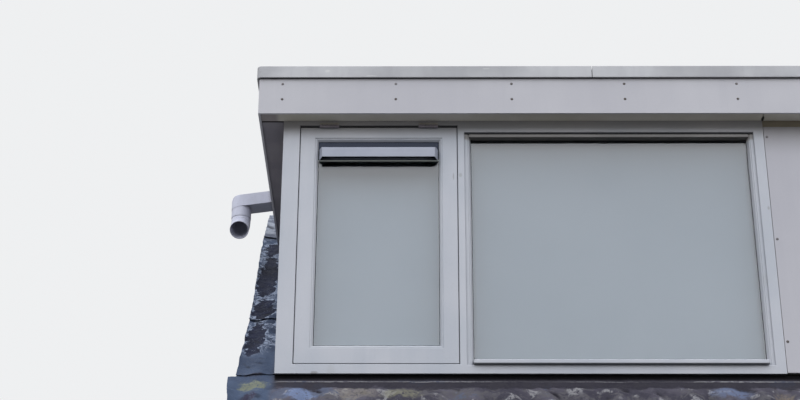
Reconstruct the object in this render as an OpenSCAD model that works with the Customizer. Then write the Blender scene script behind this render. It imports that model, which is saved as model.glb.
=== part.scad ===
// Flat-roofed dormer: two window units with a panel between them, cheeks, roof edge and lead flashings.
// Millimetres. X runs along the front, Y towards the back, Z up.
// The origin lies on the bevelled seat under the front sole, in the middle of the dormer's width.

/* [Roof slope] */
// Pitch of the roof that the dormer stands on, in degrees
roof_pitch = 45; // [40:1:50]
// Height of the tile crests over the seat, square to the slope
tile_rise = 88; // [75:1:110]
// Spacing of the tile rolls that the lead is dressed over
roll_pitch = 150; // [120:5:200]
// Height of a tile roll over the valley beside it
roll_h = 30; // [15:1:40]

/* [Front wall] */
// Width of one window unit
unit_w = 2162; // [1900:1:2400]
// Width of the panelled wall between the two units
centre_w = 950; // [600:10:1200]
// Height of the window units, from the sole to the joists
front_h = 1245; // [1100:5:1400]
// Depth of the window frames
wall_d = 114; // [108:1:130]
// Height of the underside of the frames over the tile crests
sill_gap = 30; // [20:1:60]
// Distance of the sole behind the front of the frames
sole_recess = 18; // [10:1:30]

/* [Window frame] */
// Visible face of the outer stile
stile_face = 75; // [60:1:100]
// Clear width of the rebate that takes the casement
casement_w = 710; // [600:1:800]
// Visible face of the mullion
mullion_face = 31; // [24:1:60]
// Visible face of the jamb beside the centre panel
jamb_face = 45; // [36:1:60]
// Face of the head above the casement
casement_head = 35; // [28:1:50]
// Face of the head above the fixed light
fixed_head = 71; // [60:1:90]
// Face of the rail below the casement
casement_rail = 44; // [36:1:60]
// Face of the rail below the fixed light
fixed_rail = 41; // [36:1:60]
// Width of the stops that the casement closes on
stop_w = 17; // [12:1:22]
// Depth of the casement rebate
rebate_d = 58; // [56:1:66]
// Radius of the rounded arrises
arris_r = 4; // [2:0.5:6]

/* [Casement] */
// Thickness of the casement
sash_t = 54; // [50:1:55]
// Width of the casement's stiles
sash_stile = 68; // [60:1:90]
// Width of the casement's top rail
sash_top = 56; // [50:1:80]
// Width of the casement's bottom rail
sash_bottom = 74; // [60:1:100]
// Clearance at the sides and below the casement
sash_gap = 2.5; // [1.5:0.5:4]
// Clearance above the casement, for the hinges
sash_top_gap = 8; // [6:0.5:12]
// Width of the casement's glazing beads
sash_bead_w = 13; // [10:1:18]
// Length of a hinge
hinge_w = 88; // [70:1:110]
// Distance from the casement's side to the middle of a hinge
hinge_inset = 129; // [90:1:200]

/* [Glazing] */
// Thickness of the sealed glass units
glass_t = 20; // [16:1:24]
// Distance of the fixed glass behind the front of the frame
fixed_glass_set = 40; // [36:1:46]
// Distance of the casement glass behind the front of the casement
sash_glass_set = 16; // [14:1:18]
// Width of the fixed light's side beads
bead_w = 28; // [24:1:34]
// Height of the fixed light's top bead
top_bead_h = 20; // [16:1:22]
// Distance of those beads behind the front of the frame
bead_set = 10; // [4:1:14]
// Height of the bottom bead
sill_bead_h = 27; // [22:1:34]
// How far the bottom bead stands out in front of the frame
sill_bead_out = 16; // [10:1:24]
// Depth that the glass reaches behind its beads
glass_bite = 14; // [10:1:16]

/* [Ventilation grille] */
// Height of the grille
grille_h = 112; // [96:1:130]
// Height of the front of its rain hood
hood_h = 54; // [44:1:60]
// How far the hood stands out in front of the glass
hood_out = 48; // [36:1:56]
// Radius of the hood's upper corner
hood_r = 15; // [8:1:18]
// How far the hood's ends draw in from the glass to its front
end_splay = 18; // [10:1:26]
// Thickness of the grille's sheet
grille_skin = 2.5; // [2:0.5:3]
// Height of the lip behind the hood's open underside
lip_h = 4; // [3:1:8]
// Spacing of the ribs in the air passage
rib_pitch = 15; // [10:1:30]

/* [Blinds] */
// Side clearance of a blind in the frame
blind_gap = 6; // [3:1:12]
// Distance of a blind behind the stops' front
blind_set = 14; // [8:1:16]
// Thickness of the blind cloth
cloth_t = 2; // [1:0.5:3]
// Size of the cassette that the cloth rolls up in
cassette = 38; // [30:1:44]

/* [Cheeks] */
// Thickness of the insulated cheek
cheek_t = 80; // [70:1:100]
// Depth of the battens under the cladding
batten_t = 10; // [8:1:16]
// Width of those battens
batten_w = 45; // [38:1:60]
// Distance of the cladding inside the ends of the front wall
cladding_set = 2; // [1:0.5:6]
// Thickness of the cladding panels
panel_t = 8; // [6:1:10]
// Thickness of the inner lining
lining_t = 12; // [9:1:15]
// Thickness of the soles under the cheeks, square to the slope
side_sole_t = 45; // [38:1:70]
// Gap between the cladding and the tile crests, square to the slope
cladding_gap = 16; // [10:1:30]

/* [Roof box] */
// Overhang of the fascia in front of the frames
front_overhang = 80; // [60:1:150]
// Overhang of the fascia beside the cheeks
side_overhang = 112; // [80:1:160]
// Thickness of the soffit boards
soffit_t = 12; // [9:1:18]
// Height of the joists
joist_h = 150; // [120:1:180]
// Width of the joists
joist_w = 45; // [38:1:60]
// Clear spacing of the joists, at most
joist_spacing = 600; // [400:10:700]
// Thickness of the roof deck
deck_t = 18; // [15:1:22]
// Height of the kerb round the roof
kerb_h = 42; // [34:1:60]
// Width of the kerb
kerb_w = 44; // [38:1:60]
// Thickness of the roofing membrane
membrane_t = 4; // [3:0.5:6]
// Thickness of the fascia boards
fascia_t = 10; // [8:1:18]
// How far the fascia reaches below the soffit
fascia_drop = 6; // [2:1:15]
// Width of the open joints between boards
board_gap = 3; // [2:0.5:5]
// Joint between the facing panel and the frames beside it
panel_joint = 2; // [1:0.5:4]

/* [Roof trim] */
// Height of the trim's face
trim_h = 60; // [50:1:80]
// Thickness of the trim
trim_t = 3; // [2:0.5:4]
// Distance between the fascia and the trim's face
trim_stand = 9; // [6:1:16]
// Width of the flange bonded into the roofing
trim_flange = 62; // [50:1:80]
// Outer radius of the trim's rounded corners
trim_corner = 20; // [16:1:30]
// Length of the corner lengths along the front
trim_end_len = 1520; // [1000:10:1700]
// Open joint between two lengths
trim_joint = 3; // [2:0.5:5]

/* [Lead] */
// Thickness of the lead sheet
lead_t = 3; // [2:0.5:4]
// Length of the apron down the slope
apron_len = 360; // [300:5:450]
// Width of the side flashings on the tiles
side_lead_w = 178; // [140:1:220]
// How far the apron reaches past the cheek
apron_end = 198; // [185:1:240]
// Length of the apron's ears up the slope beside the cheek
ear_len = 210; // [150:5:300]
// Number of lengths in a side flashing
side_pieces = 4; // [3:1:6]
// Lap between two lengths, and under the apron's ear
lap = 90; // [60:5:120]
// Height of the upstand behind the cladding, square to the slope
upstand_h = 70; // [50:1:100]

/* [Rain outlet] */
// Distance of the outlet's middle behind the front of the frames
outlet_back = 850; // [700:5:950]
// Height of the outlet's middle above the joists' underside, at the fascia
outlet_rise = 29; // [24:1:50]
// Fall of the outlet box towards the pipe, in degrees
outlet_fall = 8; // [4:1:12]
// Distance from the fascia to the pipe's axis
outlet_reach = 152; // [140:1:180]
// Height of the outlet box
outlet_h = 62; // [54:1:70]
// Width of the outlet box
outlet_w = 98; // [98:1:110]
// Radius of the outlet box's rounded top corner
outlet_corner = 25; // [15:1:30]
// Outer radius of the rain pipe that the mouth takes
pipe_r = 40; // [36:0.5:41]
// Wall of the outlet box and the bend
pipe_wall = 3.5; // [2.5:0.5:4]
// Outer radius of the round collar under the outlet box
collar_r = 48; // [47:0.5:48.5]
// Length of the collar
collar_len = 50; // [30:5:80]
// Radius of the bend's centre line
bend_r = 65; // [55:5:90]
// Wall of the socket at the mouth
mouth_wall = 6; // [5:0.5:6]
// Length of that socket
mouth_len = 65; // [50:1:80]

/* [Hidden] */

$fn = 48;
// Overshoot of a cutting body past the face it cuts
cut = 1;
// Reach of a cutting body well past the whole piece
beyond = 300;
// Space left between curved or lapped pieces
slack = 0.3;

rise = tan(roof_pitch);
slope_up = 1 / cos(roof_pitch);
half_w = centre_w / 2 + unit_w;
front_y = -wall_d / 2;
back_y = wall_d / 2;
crest_rise = tile_rise * slope_up;
sole_top = front_y * rise + crest_rise + sill_gap;
joist_z = sole_top + front_h;
deck_z = joist_z + joist_h;
roof_z = deck_z + deck_t;
kerb_z = roof_z + kerb_h;
soffit_z = joist_z - soffit_t;
fascia_z = soffit_z - fascia_drop;
fascia_top = kerb_z - board_gap;
eaves_y = front_y - front_overhang + fascia_t;
eaves_x = half_w + side_overhang - fascia_t;
core_x = half_w - cladding_set - panel_t - batten_t;
lining_x = core_x - cheek_t;

// Height of the seat plane and of the tile crests at a given depth
function seat(y) = y * rise;
function crest(y) = seat(y) + crest_rise;
// Depth at which the seat plane has a given height
function seat_y(z) = z / rise;

// Prism with a section drawn in depth and height, from one x to another
module across(x0, x1) {
    translate([x0, 0, 0]) rotate([90, 0, 90]) linear_extrude(x1 - x0) children();
}

// Box given by its low and high corners
module block(low, high) {
    translate(low) cube(high - low);
}

// What the roof box loses beside the cheeks, where it ends above the lead on the tiles
module over_tiles() {
    clear = (3 * lead_t + 3 * slack) * slope_up;
    far_y = seat_y(kerb_z) + beyond;
    difference() {
        children();
        on_both_sides() across(core_x, eaves_x + beyond)
            polygon([[0, crest(0) + clear], [far_y, crest(far_y) + clear], [far_y, -cut], [0, -cut]]);
    }
}

// The left unit's place: x from its outer edge, y from its front, z from its underside
module in_left_unit() {
    translate([-half_w, front_y, sole_top]) children();
}

module in_right_unit() {
    mirror([1, 0, 0]) in_left_unit() children();
}

module in_both_units() {
    in_left_unit() children();
    in_right_unit() children();
}

module on_both_sides() {
    children();
    mirror([1, 0, 0]) children();
}

// One bar of a mitred ring. Its section is drawn in depth and height, outwards being down
module mitred_bar(length, inner, outer, depth) {
    intersection() {
        across(-outer, length + outer) children();
        translate([0, depth, 0]) rotate([90, 0, 0]) linear_extrude(depth + beyond)
            polygon([[-outer, -outer], [length + outer, -outer], [length - inner, inner], [inner, inner]]);
    }
}

// Mitred ring round an opening whose low left corner is at the origin
module mitred_ring(w, h, inner, outer, depth, sides = [0, 1, 2, 3]) {
    corners = [[0, 0, 0], [w, 0, 0], [w, 0, h], [0, 0, h]];
    for (side = sides)
        translate(corners[side]) rotate([0, -90 * side, 0])
            mitred_bar(side % 2 == 0 ? w : h, inner, outer, depth) children();
}

// Waste removed to round the front arris of an opening
module arris_waste(w, h) {
    mitred_ring(w, h, 0, arris_r + cut, arris_r + cut)
        difference() {
            translate([-cut, -arris_r]) square([arris_r + cut, arris_r + cut]);
            translate([arris_r, -arris_r]) circle(arris_r);
        }
}

// Frame openings, in the unit's place
casement_h = front_h - casement_head - casement_rail;
fixed_x = stile_face + casement_w + mullion_face;
fixed_w = unit_w - fixed_x - jamb_face;
fixed_h = front_h - fixed_head - fixed_rail;
bead_lip = 6;
glass_stop = bead_w - bead_lip;

module window_frame() {
    color("gainsboro") difference() {
        cube([unit_w, wall_d, front_h]);
        translate([stile_face, 0, casement_rail]) {
            translate([0, -cut, 0]) cube([casement_w, rebate_d + cut, casement_h]);
            translate([stop_w, 0, stop_w])
                cube([casement_w - 2 * stop_w, wall_d + cut, casement_h - 2 * stop_w]);
            arris_waste(casement_w, casement_h);
        }
        translate([fixed_x, 0, fixed_rail]) {
            translate([0, -cut, 0]) cube([fixed_w, fixed_glass_set + glass_t + cut, fixed_h]);
            translate([glass_stop, 0, glass_stop])
                cube([fixed_w - 2 * glass_stop, wall_d + cut, fixed_h - 2 * glass_stop]);
            arris_waste(fixed_w, fixed_h);
        }
    }
}

// The casement, in its own place: low left corner, front face
sash_w = casement_w - 2 * sash_gap;
sash_h = casement_h - sash_gap - sash_top_gap;
pane_w = sash_w - 2 * sash_stile;
pane_h = sash_h - sash_top - sash_bottom;
sash_front = rebate_d - sash_t;

module in_casement() {
    translate([stile_face + sash_gap, sash_front, casement_rail + sash_gap]) children();
}

module in_pane() {
    in_casement() translate([sash_stile, 0, sash_bottom]) children();
}

module casement() {
    color("whitesmoke") in_casement() difference() {
        cube([sash_w, sash_t, sash_h]);
        translate([sash_stile, -cut, sash_bottom])
            cube([pane_w, sash_glass_set + glass_t + cut, pane_h]);
        translate([sash_stile + glass_bite, 0, sash_bottom + glass_bite])
            cube([pane_w - 2 * glass_bite, sash_t + cut, pane_h - 2 * glass_bite]);
        translate([sash_stile, 0, sash_bottom]) arris_waste(pane_w, pane_h);
        sash_edge_waste();
    }
}

// Rounds the casement's outer front edges
module sash_edge_waste() {
    mitred_ring(sash_w, sash_h, arris_r + cut, cut, arris_r + cut)
        difference() {
            translate([-cut, -cut]) square([arris_r + cut, arris_r + cut]);
            translate([arris_r, arris_r]) circle(arris_r);
        }
}

module casement_bead() {
    color("whitesmoke") in_pane()
        mitred_ring(pane_w, pane_h, sash_bead_w, 0, sash_glass_set)
            polygon([[3, 0], [3, 5], [sash_glass_set - 4, sash_bead_w], [sash_glass_set, sash_bead_w],
                [sash_glass_set, 0]]);
}

grille_z = pane_h - grille_h;

module casement_pane() {
    color("lightblue", 0.5) in_pane()
        block([slack, sash_glass_set, slack],
            [pane_w - slack, sash_glass_set + glass_t, grille_z + glass_bite]);
}

module fixed_pane() {
    color("lightblue", 0.5) translate([fixed_x, fixed_glass_set, fixed_rail])
        block([slack, 0, slack], [fixed_w - slack, glass_t, fixed_h - slack]);
}

// Section of a side bead, stepped and bevelled: x runs into the light, y back to the glass
module side_bead_section() {
    step = 4;
    half = bead_w / 2;
    polygon([[0, bead_set], [half, bead_set], [half + step / 2, bead_set + step],
        [half + bead_lip, bead_set + step], [bead_w, fixed_glass_set - bead_set],
        [bead_w, fixed_glass_set], [0, fixed_glass_set]]);
}

// Side beads run up to the head, with a plain top bead between them
module fixed_bead() {
    bevel = 2;
    under = fixed_h - top_bead_h;
    color("gainsboro") translate([fixed_x, 0, fixed_rail]) {
        linear_extrude(fixed_h) {
            side_bead_section();
            translate([fixed_w, 0]) mirror([1, 0]) side_bead_section();
        }
        across(bead_w - bead_lip, fixed_w - bead_w + bead_lip)
            polygon([[bead_set, fixed_h], [bead_set, under + bevel], [bead_set + bevel, under],
                [fixed_glass_set, under], [fixed_glass_set, fixed_h]]);
    }
}

// Bottom bead with a sloped top and a drip under its nose
module bottom_bead() {
    color("gainsboro") translate([fixed_x, 0, fixed_rail]) difference() {
        across(bead_w + slack, fixed_w - bead_w - slack)
            polygon([[-sill_bead_out, 2], [-sill_bead_out, sill_bead_h - 12],
                [-sill_bead_out + 4, sill_bead_h - 8], [fixed_glass_set, sill_bead_h],
                [fixed_glass_set, 0], [-sill_bead_out + 2, 0]]);
        across(0, fixed_w) translate([-sill_bead_out / 2, 0]) circle(3);
    }
}

module hinge() {
    knuckle_r = 6;
    leaf_t = 2.5;
    leaf_h = 17;
    color("silver") {
        translate([-hinge_w / 2, -knuckle_r, 0]) rotate([0, 90, 0]) cylinder(h = hinge_w, r = knuckle_r);
        block([-hinge_w / 2, -leaf_t, 0], [hinge_w / 2, 0, leaf_h]);
    }
}

// Both hinges of one casement, on the face of the head
module unit_hinges() {
    for (x = [hinge_inset, sash_w - hinge_inset])
        translate([stile_face + sash_gap + x, 0, front_h - casement_head]) hinge();
}

// Section of the hood from its front to a given depth, or of the space inside it
module hood_outline(inset, foot, back) {
    r = hood_r - inset;
    front = inset - hood_out;
    top = hood_h - inset;
    translate([front + r, top - r]) circle(r);
    translate([front, foot]) square([back - front, top - r - foot]);
    translate([front + r, foot]) square([back - front - r, top - foot]);
}

// Section of the grille, from the glass face: channel on the glass, air passage over it, and the hood
module grille_section() {
    lip_out = 4;
    channel_h = glass_bite + slack;
    back_y = glass_t + grille_skin;
    difference() {
        union() {
            hood_outline(0, 0, glass_t);
            translate([-grille_skin, 0]) square([back_y + grille_skin, channel_h + grille_skin]);
            translate([back_y - 2 * grille_skin, 0])
                square([2 * grille_skin, grille_h - glass_bite - slack]);
            translate([0, hood_h - cut]) square([glass_t, grille_h - hood_h + cut]);
        }
        translate([-slack, -cut]) square([glass_t + 2 * slack, channel_h + cut]);
        hood_outline(grille_skin, -cut, -grille_skin);
        translate([-grille_skin - cut, channel_h + grille_skin])
            square([back_y - grille_skin + cut, hood_h - channel_h - 2 * grille_skin]);
    }
    translate([-grille_skin - lip_out, 0]) square([lip_out + cut, lip_h]);
}

// Plan of the grille with its splayed ends, made shorter at both ends by the inset
module grille_plan(length, inset) {
    far = length - inset;
    translate([0, 0, -cut]) linear_extrude(grille_h + 2 * cut)
        polygon([[inset, 2 * glass_t], [inset, 0], [inset + 2 * end_splay, -2 * hood_out],
            [far - 2 * end_splay, -2 * hood_out], [far, 0], [far, 2 * glass_t]]);
}

// Grille on top of the casement's glass: extruded length, closed ends and the comb in its air passage
module vent_grille() {
    inset = max(sash_bead_w, glass_bite) + slack;
    length = pane_w - 2 * inset;
    rib_t = 1.5;
    comb_low = glass_bite + slack + grille_skin - cut;
    color("lightgrey") in_pane() translate([inset, sash_glass_set, grille_z]) {
        intersection() {
            union() {
                across(-cut, length + cut) grille_section();
                difference() {
                    across(-cut, length + cut) hood_outline(0, 0, -slack);
                    grille_plan(length, grille_skin);
                }
            }
            grille_plan(length, 0);
        }
        for (x = [end_splay : rib_pitch : length - end_splay])
            block([x, rib_t, comb_low], [x + rib_t, 3 * rib_t, hood_h - grille_skin + cut]);
    }
}

// Blinds hang in the frame just inside the stops, each cloth in front of its cassette
blind_front = rebate_d + blind_set;
cassette_back = blind_front + cloth_t + cassette;

module cloth(x, z, w, h) {
    color("linen") block([x + blind_gap, blind_front, z + blind_gap],
        [x + w - blind_gap, blind_front + cloth_t, z + h]);
}

module cloth_casement() {
    cloth(stile_face + stop_w, casement_rail + stop_w, casement_w - 2 * stop_w, casement_h - 2 * stop_w);
}

module cloth_fixed() {
    cloth(fixed_x + glass_stop, fixed_rail + glass_stop, fixed_w - 2 * glass_stop, fixed_h - 2 * glass_stop);
}

module cassettes() {
    front = cassette_back - cassette;
    color("whitesmoke") {
        translate([stile_face + stop_w, front, casement_rail + casement_h - stop_w - cassette])
            cube([casement_w - 2 * stop_w, cassette, cassette]);
        translate([fixed_x + glass_stop, front, fixed_rail + fixed_h - glass_stop - cassette])
            cube([fixed_w - 2 * glass_stop, cassette, cassette]);
    }
}

// Timber under the front wall, bevelled below to lie on the slope
module front_sole() {
    sole_front = front_y + sole_recess;
    color("burlywood") across(-half_w, half_w)
        polygon([[sole_front, seat(sole_front)], [back_y, seat(back_y)], [back_y, sole_top],
            [sole_front, sole_top]]);
}

module side_sole() {
    up = side_sole_t * slope_up;
    color("burlywood") across(lining_x, core_x)
        polygon([[back_y, seat(back_y)], [seat_y(joist_z), joist_z], [seat_y(joist_z - up), joist_z],
            [back_y, seat(back_y) + up]]);
}

// Battens along the cheek, as parts of its depth
batten_places = [0.02, 0.34, 0.66];

// Insulated cheek with its cladding battens
module cheek() {
    up = side_sole_t * slope_up;
    color("wheat") {
        across(lining_x, core_x)
            polygon([[back_y, seat(back_y) + up], [seat_y(joist_z - up), joist_z], [back_y, joist_z]]);
        for (part = batten_places)
            across(core_x, core_x + batten_t) {
                y = back_y + part * (seat_y(joist_z) - back_y);
                low = crest(y + batten_w) + (cladding_gap + upstand_h) * slope_up;
                polygon([[y, low], [y + batten_w, low], [y + batten_w, joist_z], [y, joist_z]]);
            }
    }
}

module cheek_cladding() {
    low = crest(back_y) + cladding_gap * slope_up;
    high = joist_z - soffit_t;
    color("lightgrey") across(core_x + batten_t, core_x + batten_t + panel_t)
        polygon([[back_y + 2, low + 2 * rise], [seat_y(high - low) + back_y, high], [back_y + 2, high]]);
}

module inner_linings() {
    color("white") {
        on_both_sides() across(lining_x - lining_t, lining_x)
            polygon([[back_y, seat(back_y)], [seat_y(joist_z - lining_t), joist_z - lining_t],
                [back_y, joist_z - lining_t]]);
        block([-centre_w / 2, back_y, sole_top], [centre_w / 2, back_y + lining_t, joist_z - lining_t]);
    }
}

module ceiling_lining() {
    color("white") across(-lining_x, lining_x)
        polygon([[back_y, joist_z - lining_t], [seat_y(joist_z - lining_t), joist_z - lining_t],
            [seat_y(joist_z), joist_z], [back_y, joist_z]]);
}

module centre_wall() {
    color("wheat") block([-centre_w / 2, front_y + panel_t, sole_top], [centre_w / 2, back_y, joist_z]);
}

module centre_panel() {
    edge = centre_w / 2 - panel_joint;
    color("lightgrey") block([-edge, front_y, sole_top + 2 * panel_joint],
        [edge, front_y + panel_t, soffit_z - 16 * panel_joint]);
}

// Three boards under the front overhang, with open joints over the panel's edges
module soffit_front() {
    color("darkkhaki") {
        block([-centre_w / 2, eaves_y, soffit_z], [centre_w / 2, front_y, joist_z]);
        on_both_sides()
            block([centre_w / 2 + board_gap, eaves_y, soffit_z], [eaves_x, front_y, joist_z]);
    }
}

module soffit_side() {
    color("darkkhaki") across(half_w, eaves_x)
        polygon([[front_y + 2 * board_gap, soffit_z], [seat_y(soffit_z), soffit_z],
            [seat_y(joist_z), joist_z], [front_y + 2 * board_gap, joist_z]]);
}

module fascia_front() {
    color("lightgrey") on_both_sides()
        block([board_gap / 2, eaves_y - fascia_t, fascia_z], [eaves_x + fascia_t, eaves_y, fascia_top]);
}

module fascia_side() {
    color("lightgrey") across(eaves_x, eaves_x + fascia_t)
        polygon([[eaves_y, fascia_z], [seat_y(fascia_z), fascia_z], [seat_y(fascia_top), fascia_top],
            [eaves_y, fascia_top]]);
}

// Board that closes the joist bays where the roof box meets the slope
module rear_plate() {
    up = deck_t * slope_up;
    color("burlywood") across(-eaves_x, eaves_x)
        polygon([[seat_y(joist_z), joist_z], [seat_y(deck_z), deck_z], [seat_y(deck_z - up), deck_z],
            [seat_y(joist_z - up), joist_z]]);
}

// Section of the roof box in front of the rear plate
module joist_section() {
    up = deck_t * slope_up;
    polygon([[eaves_y, joist_z], [seat_y(joist_z - up), joist_z], [seat_y(deck_z - up), deck_z],
        [eaves_y, deck_z]]);
}

module roof_joists() {
    bays = ceil((2 * eaves_x - joist_w) / (joist_spacing + joist_w));
    step = (2 * eaves_x - joist_w) / bays;
    color("burlywood") {
        for (i = [0 : bays])
            across(-eaves_x + i * step, -eaves_x + i * step + joist_w) joist_section();
        block([-eaves_x, eaves_y, joist_z], [eaves_x, eaves_y + joist_w, deck_z]);
    }
}

module roof_deck() {
    color("peru") across(-eaves_x, eaves_x)
        polygon([[eaves_y, deck_z], [seat_y(deck_z), deck_z], [seat_y(roof_z), roof_z], [eaves_y, roof_z]]);
}

module roof_kerb() {
    color("burlywood") {
        block([-eaves_x, eaves_y, roof_z], [eaves_x, eaves_y + kerb_w, kerb_z]);
        on_both_sides() across(eaves_x - kerb_w, eaves_x)
            polygon([[eaves_y, roof_z], [seat_y(roof_z), roof_z], [seat_y(kerb_z), kerb_z],
                [eaves_y, kerb_z]]);
    }
}

// Roofing felt on the deck, up the inner face of the kerb and over its top
module roof_membrane() {
    top = kerb_z + membrane_t;
    color("dimgrey") difference() {
        across(-eaves_x, eaves_x)
            polygon([[eaves_y, roof_z], [seat_y(roof_z), roof_z], [seat_y(top), top], [eaves_y, top]]);
        block([-eaves_x - cut, eaves_y - cut, roof_z - cut], [eaves_x + cut, eaves_y + kerb_w, kerb_z]);
        for (side = [-1, 1])
            translate([side * (eaves_x - kerb_w / 2 + cut), 0, 0])
                block([-kerb_w / 2 - cut, eaves_y - cut, roof_z - cut],
                    [kerb_w / 2 + cut, seat_y(top) + cut, kerb_z]);
        block([-eaves_x + kerb_w + membrane_t, eaves_y + kerb_w + membrane_t, roof_z + membrane_t],
            [eaves_x - kerb_w - membrane_t, seat_y(top) + cut, top + cut]);
    }
}

// Height of the trim's bead over its flange, and the radius of the bead
trim_bead_h = 8;
trim_bead_r = 4;
trim_top = kerb_z + membrane_t + trim_t + trim_bead_h;
trim_z = trim_top - trim_h;
trim_face_y = eaves_y - fascia_t - trim_stand - trim_t;
trim_face_x = eaves_x + fascia_t + trim_stand + trim_t;

// Section of the trim: x runs inwards from its outer face, y up from its lower edge
module trim_section() {
    flange_z = trim_h - trim_bead_h - trim_t;
    square([trim_t, trim_h - trim_bead_r]);
    square([trim_stand - cut, trim_t]);
    translate([trim_bead_r, trim_h - trim_bead_r]) circle(trim_bead_r);
    translate([trim_bead_r, flange_z]) square([trim_flange - trim_bead_r, trim_t]);
    translate([trim_t - cut, flange_z]) square([trim_bead_r + cut, trim_h - cut - flange_z]);
}

// Straight length along the front, between two places on x
module trim_front(x0, x1) {
    across(x0, x1) translate([trim_face_y, trim_z]) trim_section();
}

trim_split = trim_face_x - trim_end_len;

// Corner length: a straight run along the front and the rounded corner itself
module trim_front_corner() {
    color("silver") {
        trim_front(-trim_face_x + trim_corner, -trim_split - trim_joint / 2);
        trim_bend();
    }
}

module trim_front_middle() {
    color("silver") trim_front(-trim_split + trim_joint / 2, trim_split - trim_joint / 2);
}

// Rounded corner: the section swept about a point inside the corner
module trim_bend() {
    translate([-trim_face_x + trim_corner, trim_face_y + trim_corner, trim_z]) {
        rotate([0, 0, 180]) rotate_extrude(angle = 90) intersection() {
            translate([trim_corner, 0]) mirror([1, 0]) trim_section();
            square([trim_corner, trim_h]);
        }
        flange = trim_flange - trim_corner;
        translate([0, 0, trim_h - trim_bead_h - trim_t]) cube([flange, flange, trim_t]);
    }
}

module trim_side() {
    y0 = trim_face_y + trim_corner;
    depth = seat_y(trim_top);
    flange = trim_flange - trim_corner;
    color("silver") difference() {
        intersection() {
            translate([-trim_face_x, depth, trim_z]) rotate([90, 0, 0]) linear_extrude(depth - y0)
                trim_section();
            across(-trim_face_x - cut, 0)
                polygon([[y0, trim_z], [seat_y(trim_z), trim_z], [seat_y(trim_top), trim_top],
                    [y0, trim_top]]);
        }
        block([-trim_face_x + trim_corner - cut, y0 - cut, trim_z],
            [-trim_face_x + trim_flange + cut, y0 + flange + slack, trim_top]);
    }
}

// Lead

// Height of the dressed lead over the valley line, at a given x
function roll(x) = roll_h * (1 + cos(360 * x / roll_pitch)) / 2 - roll_h;

// Sheet that follows the rolls out to the same distance on both sides
module rolled_sheet(reach) {
    step = roll_pitch / 7;
    last = ceil(reach / step) - 1;
    xs = concat([-reach], [for (i = [-last : last]) i * step], [reach]);
    polygon(concat(
        [for (x = xs) [x, roll(x)]],
        [for (i = [len(xs) - 1 : -1 : 0]) [xs[i], roll(xs[i]) + lead_t]]));
}

// Places a flat drawing on the plane of the tile crests, its y running up the slope
module on_slope(y) {
    translate([0, y, crest(y)]) rotate([roof_pitch, 0, 0]) children();
}

apron_top_y = front_y + sole_recess - lead_t;
apron_x = half_w + apron_end;

// Apron: a sheet dressed down over the tiles, turned up against the sole, with an ear beside each cheek
module lead_apron() {
    color("slategrey") {
        difference() {
            on_slope(apron_top_y) rotate([90, 0, 0]) translate([0, 0, -ear_len])
                linear_extrude(ear_len + apron_len) rolled_sheet(apron_x);
            block([-half_w, apron_top_y + lead_t / 2, 0], [half_w, apron_top_y + beyond, front_h]);
        }
        block([-half_w - lead_t, apron_top_y, crest(apron_top_y) - roll_h * slope_up],
            [half_w + lead_t, apron_top_y + lead_t, sole_top]);
    }
}

side_start = apron_top_y + lap / slope_up;
side_len = (seat_y(kerb_z) - side_start) * slope_up + 56;

// Lapped lengths of side flashing, each lifted at its foot to lie on the one below
module lead_side() {
    box_y = seat_y(soffit_z) - crest_rise / rise - upstand_h * slope_up;
    difference() {
        lead_lengths();
        block([core_x - cut, box_y, soffit_z - slack],
            [core_x + batten_t, seat_y(kerb_z) + beyond, kerb_z + beyond]);
        block([core_x - cut, side_start - lap, 0], [half_w + slack, back_y + slack, front_h]);
    }
}

module lead_lengths() {
    piece = (side_len + (side_pieces - 1) * lap) / side_pieces;
    tilt = asin((lead_t + slack) / (piece - lap));
    color("slategrey") on_slope(side_start)
        for (i = [0 : side_pieces - 1])
            translate([0, i * (piece - lap), lead_t + slack]) rotate([-tilt, 0, 0])
                flashing_length(piece, core_x + (i % 2) * (lead_t + slack));
}

// One length: a flange on the tiles and an upstand against the cheek
module flashing_length(piece, x) {
    block([x, 0, lead_t + slack], [half_w + side_lead_w, piece, 2 * lead_t + slack]);
    block([x, 0, lead_t + slack], [x + lead_t, piece, upstand_h]);
}

// Rain outlet on the left side
outlet_x = -(eaves_x + fascia_t);
outlet_y = front_y + outlet_back;
outlet_z = joist_z + outlet_rise;
// Underside of the outlet box over the pipe's axis
collar_top = outlet_z - outlet_reach * tan(outlet_fall) - outlet_h / 2 / cos(outlet_fall);
collar_step = 1.5;
bend_out = collar_r - collar_step;
mouth_bore_r = pipe_r + slack / 2;

// Side view of the outlet box, seen from the front: it falls to a plumb end with a rounded top
module outlet_side(inset) {
    end = outlet_reach + outlet_w / 2 + slack - inset;
    half = (outlet_h / 2 - inset) / cos(outlet_fall);
    fall = tan(outlet_fall);
    r = outlet_corner - inset;
    mid = [r - end, (r - end) * fall + half - r / cos(outlet_fall)];
    translate(mid) circle(r);
    polygon([[-end, -end * fall - half], [outlet_h, outlet_h * fall - half],
        [outlet_h, outlet_h * fall + half], mid + r * [-sin(outlet_fall), cos(outlet_fall)], mid,
        [-end, mid[1]]]);
}

// The outlet's box, rounded in plan about the pipe's axis and made smaller all round by the inset
module outlet_body(inset) {
    half = outlet_w / 2 - inset;
    intersection() {
        translate([0, outlet_w, 0]) rotate([90, 0, 0]) linear_extrude(2 * outlet_w) outlet_side(inset);
        translate([-outlet_reach, 0, -outlet_w]) linear_extrude(2 * outlet_w) {
            circle(half);
            translate([0, -half]) square([outlet_reach + 2 * outlet_h, 2 * half]);
        }
    }
}

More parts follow.
